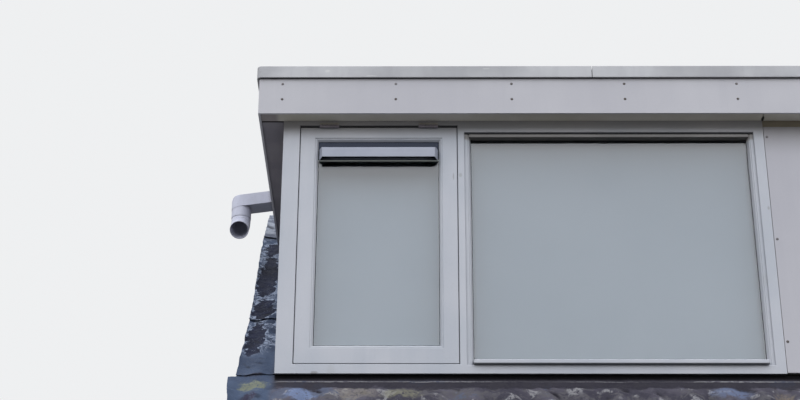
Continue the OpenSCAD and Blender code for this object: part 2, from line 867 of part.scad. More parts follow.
// Rectangular outlet on the side fascia, with a round collar under its end
module rain_outlet() {
    color("lavender") difference() {
        union() {
            translate([outlet_x, outlet_y, outlet_z]) outlet_body(0);
            translate([outlet_x - outlet_reach, outlet_y, collar_top - collar_len])
                cylinder(h = collar_len + outlet_h / 4, r = collar_r);
        }
        translate([outlet_x, outlet_y, outlet_z]) outlet_body(pipe_wall);
        translate([outlet_x - outlet_reach, outlet_y, collar_top - collar_len - cut])
            cylinder(h = collar_len + outlet_h / 4 + cut, r = collar_r - pipe_wall);
        block([outlet_x, outlet_y - outlet_w, outlet_z - outlet_h],
            [outlet_x + 2 * outlet_h, outlet_y + outlet_w, outlet_z + outlet_h]);
    }
}

// Bend that turns the pipe from plumb to the slope of the roof
module rain_bend() {
    color("lavender") translate([outlet_x - outlet_reach, outlet_y - bend_r, collar_top - collar_len])
        rotate([0, 90, 0]) rotate([0, 0, 90 - roof_pitch]) rotate_extrude(angle = roof_pitch)
            translate([bend_r, 0]) difference() {
                circle(bend_out);
                circle(bend_out - pipe_wall);
            }
}

// Socket at the end of the bend, open to the slope
module rain_spout() {
    color("lavender") translate([outlet_x - outlet_reach, outlet_y - bend_r, collar_top - collar_len])
        rotate([-roof_pitch, 0, 0]) translate([0, bend_r, 0]) mirror([0, 0, 1]) difference() {
            cylinder(h = mouth_len, r = mouth_bore_r + mouth_wall);
            translate([0, 0, -cut]) cylinder(h = mouth_len, r = pipe_r - pipe_wall);
            translate([0, 0, 2 * pipe_wall]) cylinder(h = mouth_len, r = mouth_bore_r);
        }
}

front_sole();
on_both_sides() side_sole();  // side_soles
over_tiles() rear_plate();
mirror([1, 0, 0]) cheek();  // cheek_left
cheek();  // cheek_right
on_both_sides() cheek_cladding();  // cheek_claddings
inner_linings();
ceiling_lining();
in_left_unit() window_frame();  // window_frame_left
in_right_unit() window_frame();  // window_frame_right
in_left_unit() casement();  // casement_left
in_right_unit() casement();  // casement_right
in_both_units() casement_bead();  // casement_beads
in_both_units() casement_pane();  // casement_glass
in_both_units() fixed_pane();  // fixed_glass
in_both_units() fixed_bead();  // fixed_beads
in_both_units() bottom_bead();  // bottom_beads
in_left_unit() vent_grille();  // vent_grille_left
in_right_unit() vent_grille();  // vent_grille_right
in_both_units() unit_hinges();  // casement_hinges
in_left_unit() cloth_casement();  // blind_left_casement
in_left_unit() cloth_fixed();  // blind_left_fixed
in_right_unit() cloth_casement();  // blind_right_casement
in_right_unit() cloth_fixed();  // blind_right_fixed
in_both_units() cassettes();  // blind_cassettes
centre_wall();
centre_panel();
soffit_front();
over_tiles() on_both_sides() soffit_side();  // soffit_sides
fascia_front();
over_tiles() on_both_sides() fascia_side();  // fascia_sides
trim_front_corner();  // trim_front_left
trim_front_middle();
mirror([1, 0, 0]) trim_front_corner();  // trim_front_right
over_tiles() on_both_sides() trim_side();  // trim_sides
over_tiles() roof_joists();
over_tiles() roof_deck();
over_tiles() roof_kerb();
over_tiles() roof_membrane();
lead_apron();
mirror([1, 0, 0]) lead_side();  // lead_side_left
lead_side();  // lead_side_right
rain_outlet();
rain_bend();
rain_spout();
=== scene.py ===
import bpy
import bmesh
import math
import numpy as np
from mathutils import Matrix, Vector, noise


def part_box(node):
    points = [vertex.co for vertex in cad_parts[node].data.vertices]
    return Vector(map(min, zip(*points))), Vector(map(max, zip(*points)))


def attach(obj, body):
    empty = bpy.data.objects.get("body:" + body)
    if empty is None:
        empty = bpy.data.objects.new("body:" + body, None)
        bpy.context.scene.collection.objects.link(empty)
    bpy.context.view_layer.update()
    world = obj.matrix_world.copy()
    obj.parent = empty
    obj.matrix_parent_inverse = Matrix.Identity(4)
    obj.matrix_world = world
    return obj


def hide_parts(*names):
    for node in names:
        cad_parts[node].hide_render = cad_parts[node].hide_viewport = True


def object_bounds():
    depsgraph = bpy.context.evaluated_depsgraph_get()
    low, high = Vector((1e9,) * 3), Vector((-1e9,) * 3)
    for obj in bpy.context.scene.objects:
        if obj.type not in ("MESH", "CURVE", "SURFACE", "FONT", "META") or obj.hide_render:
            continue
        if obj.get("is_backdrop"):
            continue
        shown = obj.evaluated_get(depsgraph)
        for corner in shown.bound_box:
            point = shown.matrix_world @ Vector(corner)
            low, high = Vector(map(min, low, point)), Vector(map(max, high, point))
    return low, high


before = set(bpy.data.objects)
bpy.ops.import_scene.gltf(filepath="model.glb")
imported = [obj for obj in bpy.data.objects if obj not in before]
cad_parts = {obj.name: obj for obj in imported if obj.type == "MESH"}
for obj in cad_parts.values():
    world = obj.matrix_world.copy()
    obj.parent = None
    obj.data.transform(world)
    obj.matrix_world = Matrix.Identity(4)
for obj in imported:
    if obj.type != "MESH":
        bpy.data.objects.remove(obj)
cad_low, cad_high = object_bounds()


# The place one looks from: on the ground in front of the dormer, a little left of its middle,
# with a long lens that looks up at the front. Lengths are in metres, here and below.
lens = bpy.data.cameras.new("viewpoint")
lens.lens = 83.32
lens.sensor_width = 36
lens.clip_start = 0.1
lens.clip_end = 200
viewpoint = bpy.data.objects.new("viewpoint", lens)
bpy.context.scene.collection.objects.link(viewpoint)
pitch = math.radians(27.930)
yaw = math.radians(0.635)
roll = math.radians(0.281)
stand = Matrix.Translation((-2.0295, -7.3003, -2.9145))
look = Matrix.Rotation(yaw, 4, "Z") @ Matrix.Rotation(math.pi / 2 + pitch, 4, "X")
viewpoint.matrix_world = stand @ look @ Matrix.Rotation(roll, 4, "Z")
bpy.context.scene.camera = viewpoint


# Bare softwood: the soles that stand on the roof, the plate at the back, the joists and the kerb.
# Planed and untreated, nailed together; each run of timber has its grain along its length.
def put(tree, kind, inputs=None, **settings):
    made = tree.nodes.new("ShaderNode" + kind)
    for name, value in settings.items():
        setattr(made, name, value)
    for name, value in (inputs or {}).items():
        if isinstance(value, bpy.types.NodeSocket):
            tree.links.new(value, made.inputs[name])
        else:
            made.inputs[name].default_value = value
    return made


# A node that stands in the same tree as whatever feeds it
def follow(kind, inputs, **settings):
    tree = next(value.id_data for value in inputs.values() if isinstance(value, bpy.types.NodeSocket))
    return put(tree, kind, inputs, **settings)


def feed(made, **values):
    for name, value in values.items():
        made.id_data.links.new(value, made.inputs[name.replace("_", " ")])


def use(tree, group, **inputs):
    return put(tree, "Group", inputs, node_tree=group).outputs


def sums(operation, first, second=0.0, clamp=False):
    return follow("Math", {0: first, 1: second}, operation=operation, use_clamp=clamp).outputs[0]


def times(first, second, clamp=False):
    return sums("MULTIPLY", first, second, clamp)


def vectors(operation, first, second=(0, 0, 0)):
    return follow("VectorMath", {0: first, 1: second}, operation=operation).outputs


def spread(value, low, high, to_low=0.0, to_high=1.0):
    inputs = {"Value": value, "From Min": low, "From Max": high, "To Min": to_low, "To Max": to_high}
    return follow("MapRange", inputs, interpolation_type="SMOOTHSTEP").outputs[0]


def blend(share, below, above, kind="MIX"):
    inputs = {0: share, 6: below, 7: above}
    return follow("Mix", inputs, data_type="RGBA", blend_type=kind).outputs[2]


def coats(colour, *layers):
    for mask, tone, *amount in layers:
        colour = blend(times(mask, *amount) if amount else mask, colour, tone)
    return colour


def shade(red, green, blue):
    parts = [value / 255 for value in (red, green, blue)]
    return (*[v / 12.92 if v < 0.04045 else ((v + 0.055) / 1.055) ** 2.4 for v in parts], 1.0)


def object_place(tree):
    return put(tree, "TexCoord").outputs["Object"]


def mottle(place, scale, detail, roughness=0.5, distortion=0.0):
    inputs = {"Vector": place, "Scale": scale, "Detail": detail, "Roughness": roughness,
              "Distortion": distortion}
    return follow("TexNoise", inputs).outputs[0]


def bumped(height, strength, distance, normal=None):
    bump = follow("Bump", {"Height": height, "Strength": strength, "Distance": distance})
    if normal is not None:
        feed(bump, Normal=normal)
    return bump.outputs[0]


def new_group(name, gives, **takes):
    tree = bpy.data.node_groups.new(name, "ShaderNodeTree")
    for label, value in takes.items():
        kind = "NodeSocketFloat" if isinstance(value, float) else "NodeSocketVector"
        tree.interface.new_socket(label, in_out="INPUT", socket_type=kind).default_value = value
    for label in gives:
        kind = "NodeSocketVector" if label == "Normal" else "NodeSocketFloat"
        tree.interface.new_socket(label, in_out="OUTPUT", socket_type=kind)
    return tree, tree.nodes.new("NodeGroupInput").outputs, tree.nodes.new("NodeGroupOutput")


def new_finish(name, **plain):
    made = bpy.data.materials.new(name)
    made.use_nodes = True
    surface = made.node_tree.nodes["Principled BSDF"]
    for label, value in plain.items():
        surface.inputs[label.replace("_", " ")].default_value = value
    return made, made.node_tree, surface


def finish_nodes(finish, *names):
    for name in names:
        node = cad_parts[name]
        node.data.materials.clear()
        node.data.materials.append(finish)


# Edges rounded by handling and rubbed by weather: a rounded normal and where the rubbing shows
# The finishes paint this mask lighter, as rubbed paint and also as a painted highlight on the arrises
edges, start, end = new_group("worn edges", ("Normal", "Rubbed"), Radius=0.002, Wear=0.5)
rounded = put(edges, "Bevel", {"Radius": start["Radius"]}, samples=4).outputs[0]
flat = put(edges, "NewGeometry").outputs["True Normal"]
off_flat = sums("SUBTRACT", 1.0, vectors("DOT_PRODUCT", rounded, flat)["Value"])
ragged = spread(mottle(object_place(edges), 55.0, 5.0, 0.65), 0.42, 0.62)
rubbed_and_lit = times(times(off_flat, 7.0, True), ragged)
feed(end, Normal=rounded, Rubbed=times(rubbed_and_lit, start["Wear"], True))

# Rain and dust: thin streaks that run down, broad patches and small specks
weather, start, end = new_group("rain and dust", ("Streaks", "Patches", "Specks"),
                                Streaks=16.0, Drop=1.2, Patches=2.2)
place = object_place(weather)
runs = follow("CombineXYZ", {0: start["Streaks"], 1: start["Streaks"], 2: start["Drop"]})
streak = mottle(vectors("MULTIPLY", place, runs.outputs[0])[0], 1.0, 5.0, 0.6)
patch = mottle(place, start["Patches"], 4.0, 0.55)
speck = mottle(place, 140.0, 3.0, 0.6)
feed(end, Streaks=spread(streak, 0.40, 0.72), Patches=spread(patch, 0.35, 0.68),
     Specks=spread(speck, 0.56, 0.72))

# Grain of sawn wood along one direction, with knots
grain, start, end = new_group("wood grain", ("Grain", "Bands", "Knot"),
                              Across=(40.0, 40.0, 2.0), Knots=(4.0, 4.0, 1.6))
place = object_place(grain)
drawn = vectors("MULTIPLY", place, start["Across"])[0]
bands = mottle(drawn, 0.6, 2.0, distortion=0.8)
knotted = vectors("MULTIPLY", place, start["Knots"])[0]
knot = put(grain, "TexVoronoi", {"Vector": knotted, "Scale": 1.0}).outputs["Distance"]
feed(end, Grain=mottle(drawn, 3.0, 6.0, 0.7), Bands=spread(bands, 0.40, 0.62),
     Knot=spread(knot, 0.03, 0.075, 1.0, 0.0))


def bare_timber(name, across, knots):
    finish, tree, surface = new_finish(name)
    wood = use(tree, grain, Across=across, Knots=knots)
    damp = use(tree, weather, Streaks=5.0, Drop=4.0, Patches=3.0)
    colour = coats(
        blend(wood["Bands"], shade(196, 160, 112), shade(165, 124, 78)),
        (wood["Grain"], shade(140, 104, 66), 0.5),
        (wood["Knot"], shade(92, 58, 34)),
        (damp["Patches"], shade(112, 98, 80), 0.35))
    worn = use(tree, edges, Radius=0.003, Wear=0.5)
    feed(surface, Base_Color=colour, Roughness=spread(wood["Grain"], 0.3, 0.7, 0.58, 0.8),
         Normal=bumped(wood["Grain"], 0.5, 0.0012, worn["Normal"]))
    return finish


finish_nodes(bare_timber("softwood along the front", (2.0, 40.0, 40.0), (1.6, 6.0, 6.0)),
             "front_sole", "rear_plate", "roof_kerb")
finish_nodes(bare_timber("softwood up the slope", (40.0, 3.0, 12.0), (6.0, 2.0, 2.0)),
             "side_soles", "roof_joists")


# The roof deck: sheets of plywood screwed down on the joists, with butt joints 1.22 metres apart.
# The face veneer shows its open grain, and the joints show as thin dark lines.
def sheet_joints(tree, gap, wide, tall, first, second, joint):
    inputs = {"Vector": object_place(tree), "Scale": 1.0, "Mortar Size": gap, "Brick Width": wide,
              "Row Height": tall, "Color1": first, "Color2": second, "Mortar": joint}
    return put(tree, "TexBrick", inputs, offset=0.0).outputs[0]


finish, tree, surface = new_finish("plywood", Roughness=0.7)
wood = use(tree, grain, Across=(3.0, 30.0, 60.0), Knots=(2.4, 3.5, 1.0))
colour = coats(
    sheet_joints(tree, 0.002, 1.22, 2.44, shade(186, 152, 108), shade(172, 140, 98), shade(60, 46, 32)),
    (wood["Bands"], shade(150, 110, 70), 0.6),
    (wood["Knot"], shade(96, 62, 38)))
feed(surface, Base_Color=colour, Normal=bumped(wood["Grain"], 0.4, 0.001))
finish_nodes(finish, "roof_deck")


# The insulated cheeks and the wall between the window units: timber panels behind the cladding.
# Only the strip over the facing panel shows, darkened as painted shade in its recess under the overhang.
def axes(tree):
    return put(tree, "SeparateXYZ", {0: object_place(tree)}).outputs


finish, tree, surface = new_finish("timber wall panel", Roughness=0.75)
wood = use(tree, grain, Across=(2.0, 30.0, 30.0), Knots=(1.5, 4.0, 4.0))
damp = use(tree, weather, Streaks=12.0, Drop=3.0, Patches=5.0)
height = axes(tree)[2]
# Painted shade: dark in the recess over the facing panel, and near black at the foot under it
stained = blend(damp["Patches"], shade(122, 114, 98), shade(136, 126, 108))
colour = coats(
    blend(wood["Bands"], shade(178, 152, 112), shade(158, 130, 92)),
    (wood["Knot"], shade(104, 74, 48)),
    (spread(height, 1.285, 1.295), stained),
    (spread(height, 0.106, 0.116, 1.0, 0.0), shade(40, 38, 36)))
feed(surface, Base_Color=colour, Normal=bumped(wood["Grain"], 0.4, 0.001))
finish_nodes(finish, "cheek_left", "cheek_right", "centre_wall")


# Linings of the room: plasterboard on the cheeks, the centre wall and the ceiling.
# Painted white with a roller, which leaves a fine stipple, with shallow filled joints.
finish, tree, surface = new_finish("painted plasterboard", Roughness=0.8)
dust = use(tree, weather, Streaks=3.0, Drop=1.0, Patches=1.6)
colour = coats(shade(222, 221, 216), (dust["Patches"], shade(206, 204, 197), 0.6))
white = (1, 1, 1, 1)
filled = sheet_joints(tree, 0.004, 1.2, 3.0, white, white, (0.9, 0.9, 0.9, 1))
colour = blend(1.0, colour, filled, "MULTIPLY")
stipple = mottle(object_place(tree), 420.0, 2.0)
worn = use(tree, edges, Radius=0.002, Wear=0.3)
feed(surface, Base_Color=colour, Normal=bumped(stipple, 0.25, 0.0006, worn["Normal"]))
finish_nodes(finish, "inner_linings", "ceiling_lining")


# Window frames, casements and their beads: planed timber with a satin white paint, brushed on.
# The paint has chalked and the rain has left faint streaks; the rubbed arrises carry a painted highlight.
spot, start, end = new_group("spot", ("Mask",), Centre=(0, 0, 0), Size=(0.01, 0.01, 0.01), Fineness=90.0,
                             Ragged=0.008)
place = object_place(spot)
wander = put(spot, "TexNoise", {"Vector": place, "Scale": start["Fineness"], "Detail": 4.0}).outputs[1]
moved = vectors("SUBTRACT", wander, (0.5, 0.5, 0.5))[0]
moved = vectors("MULTIPLY", moved, start["Ragged"])[0]
from_centre = vectors("SUBTRACT", place, start["Centre"])[0]
from_centre = vectors("ADD", from_centre, moved)[0]
far = vectors("LENGTH", vectors("DIVIDE", from_centre, start["Size"])[0])["Value"]
feed(end, Mask=spread(far, 0.5, 1.0, 1.0, 0.0))


def shut_in(tree, reach):
    return put(tree, "AmbientOcclusion", {"Distance": reach}, samples=4).outputs["AO"]


def cornered(shut):
    return spread(shut, 0.12, 0.48, 0.7, 0.0)


# Painted shade: masks that darken the corners between pieces, and faces that look down, where less light
# falls
painted_shade, start, end = new_group("painted_shade", ("Shut", "Corners", "Undersides"), Reach=0.016)
shut = shut_in(painted_shade, start["Reach"])
down = put(painted_shade, "SeparateXYZ", {0: put(painted_shade, "NewGeometry").outputs["True Normal"]}).outputs[2]
feed(end, Shut=shut, Corners=cornered(shut), Undersides=spread(down, -0.75, -0.35, 1.0, 0.0))


def old_paint(name, marks, overhang_shadow, corners=1.0, wear=0.35, under=0.62):
    finish, tree, surface = new_finish(name)
    rain = use(tree, weather, Streaks=9.0, Drop=0.7, Patches=1.9)
    wood = use(tree, grain, Across=(30.0, 30.0, 3.0), Knots=(3.0, 3.0, 1.6))
    worn = use(tree, edges, Radius=0.002, Wear=wear)
    # Painted shade in the corners, where the gloss is also lowered
    shade_mask = times(cornered(shut_in(tree, 0.013)), corners)
    # Painted shadow of the overhang, darkening the paint towards the head
    shadow_tone = blend(rain["Patches"], shade(120, 112, 102), shade(108, 101, 92))
    soiled = [(use(tree, spot, Centre=centre, Size=size, Ragged=0.6 * min(size))["Mask"], tone, strength)
              for centre, size, strength, tone in marks]
    colour = coats(
        blend(rain["Patches"], shade(181, 183, 189), shade(174, 178, 185)),
        (rain["Streaks"], shade(160, 166, 176), 0.28),
        (rain["Specks"], shade(128, 128, 128), 0.10),
        (wood["Knot"], shade(140, 136, 126), 0.14),
        (spread(axes(tree)[2], overhang_shadow[0], overhang_shadow[1]), shadow_tone, overhang_shadow[2]),
        *soiled,
        # Painted highlight on rubbed arrises, then painted shade in corners and on faces that look down
        (worn["Rubbed"], shade(206, 208, 210)),
        (shade_mask, shade(52, 50, 48)),
        (use(tree, painted_shade)["Undersides"], shade(44, 45, 44), under))
    feed(surface, Base_Color=colour, Roughness=spread(rain["Patches"], 0.0, 1.0, 0.38, 0.55),
         Specular_IOR_Level=spread(shade_mask, 0.0, 0.6, 0.5, 0.1),
         Normal=bumped(wood["Grain"], 0.2, 0.0008, worn["Normal"]))
    return finish


frame_marks = [((-1.8406, -0.057, 1.0518), (0.009, 0.02, 0.013), 0.35, shade(120, 118, 112)),
               ((-0.4843, -0.057, 0.8853), (0.006, 0.02, 0.012), 0.4, shade(120, 116, 112)),
               ((-2.4693, -0.057, 0.1016), (0.020, 0.03, 0.009), 0.5, shade(96, 90, 84)),
               ((1.9120, -0.057, 0.7300), (0.009, 0.02, 0.013), 0.3, shade(126, 120, 112))]
sash_marks = [((-1.8718, -0.057, 1.047), (0.004, 0.02, 0.024), 0.45, shade(116, 114, 112))]
bead_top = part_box("fixed_beads")[1].z
# A near-black painted shadow line along the top of the fixed beads, under the head's arris
head_shadow_line = [((0, -0.047, bead_top - 0.001), (9.0, 0.05, 0.0068), 0.95, shade(10, 10, 10))]
finish_nodes(old_paint("old white paint on the frames", frame_marks, (1.225, 1.33, 0.68)),
             "window_frame_left", "window_frame_right")
finish_nodes(old_paint("old white paint on the fixed beads", head_shadow_line, (1.232, 1.248, 0.72), corners=0.5),
             "fixed_beads", "bottom_beads")
finish_nodes(old_paint("old white paint on the casements", sash_marks, (1.225, 1.33, 0.62), corners=0.4),
             "casement_left", "casement_right")
finish_nodes(old_paint("old white paint on the casement beads", sash_marks, (1.225, 1.33, 0.35),
                       corners=0.2, wear=0.9, under=0.1), "casement_beads")


# Seals of black rubber: a strip in the gap round each casement, pushed into a groove of the frame,
# and a thin wedge between every pane and its beads, mitred at the corners.
def select_only(*pieces):
    bpy.ops.object.select_all(action="DESELECT")
    for piece in pieces:
        piece.select_set(True)
    bpy.context.view_layer.objects.active = pieces[0]


def upright_plate(middle, wide, tall):
    bpy.ops.object.select_all(action="DESELECT")
    bpy.ops.mesh.primitive_plane_add(size=1, location=middle, rotation=(math.pi / 2, 0, 0))
    plate = bpy.context.active_object
    plate.scale = (wide, tall, 1)
    bpy.ops.object.transform_apply(location=True, rotation=True, scale=True)
    bpy.ops.object.mode_set(mode="EDIT")
    bpy.ops.mesh.select_all(action="SELECT")
    return plate


def push_back(depth):
    bpy.ops.mesh.select_all(action="SELECT")
    bpy.ops.mesh.extrude_region_move(TRANSFORM_OT_translate={"value": (0, depth, 0)})
    bpy.ops.mesh.select_all(action="SELECT")
    bpy.ops.mesh.normals_make_consistent(inside=False)


def finished(piece, name, finish):
    piece.name = name
    piece.data.name = name
    piece.data.materials.append(finish)
    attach(piece, "root")
    return piece


rubber, tree, surface = new_finish("black rubber", Roughness=0.62)
dust = use(tree, weather, Streaks=30.0, Drop=30.0, Patches=14.0)
colour = coats(
    blend(dust["Patches"], shade(34, 35, 38), shade(52, 53, 55)),
    (dust["Specks"], shade(84, 84, 84), 0.3))
feed(surface, Base_Color=colour, Normal=use(tree, edges, Radius=0.0005, Wear=0.2)["Normal"])


def rubber_ring(name, ends, foot, top, front, back, wide, head):
    left, right = sorted(ends)
    ring = upright_plate(((left + right) / 2, front, (foot + top) / 2), right - left, top - foot)
    bpy.ops.mesh.inset(thickness=wide)
    bpy.ops.mesh.delete(type="FACE")
    mesh = bmesh.from_edit_mesh(ring.data)
    for corner in mesh.verts:
        if abs(corner.co.z - (top - wide)) < 0.0001:
            corner.co.z = top - head
    bmesh.update_edit_mesh(ring.data)
    push_back(back - front)
    bpy.ops.mesh.bevel(offset=0.0004, segments=2, affect="EDGES")
    bpy.ops.object.mode_set(mode="OBJECT")
    finished(ring, name, rubber)


sides = (("left", -1), ("right", 1))
gap = 0.0022
head_gap = 0.0076
for side, turn in sides:
    low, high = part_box("casement_" + side)
    rubber_ring("sash_seal_" + side, (low.x - gap, high.x + gap), low.z - gap, high.z + head_gap,
                low.y + 0.010, low.y + 0.018, 0.0021, 0.0075)
pane_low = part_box("casement_glass")[0]
grille_low, grille_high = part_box("vent_grille_left")
light_low, light_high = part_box("fixed_glass")
wall_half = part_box("centre_wall")[1].x
grille_wide = grille_high.x - grille_low.x
sash_cover = 0.0125
jamb_cover = 0.0275
proud = 0.0018
bedded = 0.0001
for side, turn in sides:
    outer = -turn * (pane_low.x + sash_cover)
    inner = -turn * (pane_low.x + grille_wide + 0.0158)
    rubber_ring("sash_wedge_" + side, (outer, inner), pane_low.z + sash_cover, grille_low.z - 0.0004,
                pane_low.y - proud, pane_low.y - bedded, 0.0030, 0.0020)
    outer = -turn * (light_low.x + jamb_cover)
    inner = turn * (wall_half + 0.045 + jamb_cover)
    rubber_ring("light_wedge_" + side, (outer, inner), light_low.z + 0.0265, light_high.z - 0.0195,
                light_low.y - proud, light_low.y - bedded, 0.0028, 0.0030)


# Glass: sealed units of clear float glass, bedded against the frame and held by the beads.
# A thin film of dust and dried rain lies on the outside, thicker in broad patches.
def either(tree, share, first, second, output="Material Output"):
    both = put(tree, "MixShader", {0: share, 1: first.outputs[0], 2: second.outputs[0]})
    feed(tree.nodes[output], Surface=both.outputs[0])


finish, tree, surface = new_finish("clear glass", Roughness=0.0, IOR=1.72, Transmission_Weight=1.0)
film = use(tree, weather, Streaks=14.0, Drop=2.0, Patches=1.8)
tint = blend(film["Patches"], (0.91, 0.95, 0.97, 1), (0.87, 0.92, 0.94, 1))
feed(surface, Base_Color=tint)
through = put(tree, "BsdfTransparent", {"Color": (0.93, 0.96, 0.97, 1)})
either(tree, put(tree, "LightPath").outputs["Is Shadow Ray"], surface, through)
finish_nodes(finish, "casement_glass", "fixed_glass")


# Ventilation grilles: extruded aluminium on top of the casement's glass, with a stove-dried coat.
# Painted shade makes the slot, the hood's underside and the recess above the hood dark and matt.
hood_front = grille_low.y
hood_top = grille_low.z + 0.0545
finish, tree, surface = new_finish("coated aluminium")
rain = use(tree, weather, Streaks=12.0, Drop=4.0, Patches=5.0)
worn = use(tree, edges, Radius=0.001, Wear=0.4)
place = axes(tree)
# Painted shade, near black, inside the slot and under the hood
inside = spread(shut_in(tree, 0.06), 0.38, 0.60, 1.0, 0.0)
# Painted shade in the recess above the hood
above = times(spread(place[2], hood_top, hood_top + 0.002),
              spread(place[1], hood_front + 0.02, hood_front + 0.03))
# Painted light: the lip under the slot is painted pale against the shade there
lip = times(spread(place[2], grille_low.z + 0.0042, grille_low.z + 0.0052, 1.0, 0.0),
            spread(place[1], hood_front + 0.036, hood_front + 0.038))
colour = coats(
    blend(rain["Patches"], shade(155, 159, 172), shade(147, 152, 166)),
    (rain["Streaks"], shade(122, 127, 140), 0.2),
    # Painted highlight on rubbed edges
    (worn["Rubbed"], shade(196, 199, 206)),
    (inside, shade(5, 7, 10)),
    (above, shade(58, 64, 77), 0.9),
    (lip, shade(214, 220, 214)))
matt = sums("MAXIMUM", inside, above)
feed(surface, Base_Color=colour, Roughness=spread(inside, 0.0, 1.0, 0.38, 0.9),
     Specular_IOR_Level=spread(matt, 0.0, 1.0, 0.5, 0.0), Normal=worn["Normal"])
finish_nodes(finish, "vent_grille_left", "vent_grille_right")


# Facing panel between the window units and the cladding on the cheeks: flat laminate board.
# Screwed through small plain heads near its edges; pale grey, with faint rain streaks.
def laminate(name, tones, top_darkening, top_tone, corners=1.0):
    finish, tree, surface = new_finish(name)
    rain = use(tree, weather, Streaks=13.0, Drop=0.9, Patches=1.7)
    worn = use(tree, edges, Radius=0.0015, Wear=0.4)
    # Painted shade in the corners, and a painted highlight on rubbed edges
    shade_mask = use(tree, painted_shade, Reach=0.014)
    # A band darker towards the top of each board
    darker_top = times(spread(axes(tree)[2], top_darkening[0], top_darkening[1]), top_darkening[2])
    colour = coats(
        blend(rain["Patches"], tones[0], tones[1]),
        (rain["Streaks"], tones[2], 0.2),
        (rain["Specks"], shade(130, 128, 124), 0.08),
        (worn["Rubbed"], shade(198, 198, 200)),
        (darker_top, top_tone),
        (shade_mask["Corners"], shade(54, 52, 52), corners))
    fine = mottle(object_place(tree), 260.0, 2.0)
    feed(surface, Base_Color=colour, Roughness=spread(rain["Patches"], 0.0, 1.0, 0.42, 0.56),
         Specular_IOR_Level=spread(darker_top, 0.0, 1.0, 0.5, 0.0),
         Normal=bumped(fine, 0.12, 0.0005, worn["Normal"]))
    return finish


panel_tones = (shade(176, 175, 180), shade(171, 170, 176), shade(160, 159, 166))
# The panel is darker towards the top
finish_nodes(laminate("grey laminate panel", panel_tones, (1.14, 1.31, 0.5), shade(120, 117, 112)),
             "centre_panel", "cheek_claddings")

aged, tree, surface = new_finish("aged screw", Metallic=0.5)
rust = use(tree, weather, Streaks=90.0, Drop=60.0, Patches=60.0)
colour = coats(
    blend(rust["Patches"], shade(112, 110, 112), shade(84, 76, 70)),
    (rust["Specks"], shade(104, 66, 44), 0.6))
feed(surface, Base_Color=colour, Roughness=spread(rust["Patches"], 0.0, 1.0, 0.45, 0.7))


def turned(profile, count, closed=False):
    bpy.ops.object.select_all(action="DESELECT")
    bpy.ops.mesh.primitive_circle_add(vertices=count, radius=profile[0][0], location=(0, 0, profile[0][1]))
    piece = bpy.context.active_object
    bpy.ops.object.transform_apply(location=True)
    bpy.ops.object.mode_set(mode="EDIT")
    bpy.ops.mesh.select_all(action="SELECT")
    if not closed:
        bpy.ops.mesh.edge_face_add()
    for (before, low), (after, high) in zip(profile, profile[1:]):
        bpy.ops.mesh.extrude_region_move(TRANSFORM_OT_translate={"value": (0, 0, high - low)})
        bpy.ops.transform.resize(value=(after / before, after / before, 1), center_override=(0, 0, 0))
    bpy.ops.mesh.select_all(action="SELECT")
    bpy.ops.mesh.remove_doubles(threshold=0.00001)
    if not closed:
        bpy.ops.mesh.select_all(action="DESELECT")
        bpy.ops.mesh.select_non_manifold()
        bpy.ops.mesh.edge_face_add()
    bpy.ops.mesh.select_all(action="SELECT")
    bpy.ops.mesh.normals_make_consistent(inside=False)
    bpy.ops.object.mode_set(mode="OBJECT")
    return piece


def copied(piece, place):
    made = piece.copy()
    made.data = piece.data.copy()
    bpy.context.scene.collection.objects.link(made)
    made.matrix_world = place
    return made


def settled(*pieces):
    select_only(*pieces)
    if len(pieces) > 1:
        bpy.ops.object.join()
    bpy.ops.object.transform_apply(location=True, rotation=True, scale=True)
    bpy.ops.object.shade_smooth_by_angle(angle=math.radians(35))
    return pieces[0]


def upright_to(direction):
    return Vector((0, 0, 1)).rotation_difference(Vector(direction)).to_matrix().to_4x4()


screw_head = turned([(0.0012, 0.0008), (0.0016, 0.0018), (0.0034, 0.0017), (0.0046, 0.0011),
                     (0.0048, 0.0004), (0.0064, 0.0003), (0.0066, -0.0006)], 14)


def screws(name, places, facing, metal=aged):
    heads = []
    for place in places:
        stopped_at = Matrix.Rotation(137.5 * len(heads), 4, "Z")
        heads.append(copied(screw_head, Matrix.Translation(place) @ upright_to(facing) @ stopped_at))
    finished(settled(*heads), name, metal)


face_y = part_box("centre_panel")[0].y
screws("panel_screws", [(x, face_y, z) for x in (-0.460, 0.0, 0.460) for z in (1.246, 0.732, 0.244)],
       (0, -1, 0))
plate_low, plate_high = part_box("cheek_claddings")
margin = 0.03
for side, turn in sides:
    out = turn * plate_high.x
    spots = []
    for step in range(7):
        run = plate_low.y + margin + step * 0.17
        spots.append((out, run, plate_high.z - margin))
        if step:
            spots.append((out, run - 0.06, plate_low.z + run - plate_low.y))
    for step in range(1, 4):
        spots.append((out, plate_low.y + margin, plate_high.z - margin - step * 0.27))
    screws("cladding_screws_" + side, spots, (turn, 0, 0))


# Hinges of the casements: a pressed steel leaf on the head and a knuckle over the gap below it.
# Zinc plated and dulled; leaves and screws were painted over with the head.
head_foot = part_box("casement_left")[1].z + 0.008
finish, tree, surface = new_finish("dull zinc", Metallic=0.3)
rain = use(tree, weather, Streaks=60.0, Drop=30.0, Patches=30.0)
painted = spread(axes(tree)[2], head_foot + 0.0030, head_foot + 0.0036)
colour = coats(
    blend(rain["Patches"], shade(126, 120, 125), shade(112, 107, 112)),
    (rain["Specks"], shade(92, 74, 64), 0.4),
    (painted, shade(148, 142, 132)),
    # Painted shade in the corners round the knuckles and leaves
    (use(tree, painted_shade, Reach=0.004)["Corners"], shade(20, 20, 20), 0.4))
feed(surface, Base_Color=colour, Roughness=spread(rain["Patches"], 0.0, 1.0, 0.4, 0.62),
     Normal=use(tree, edges, Radius=0.001, Wear=0.4)["Normal"])

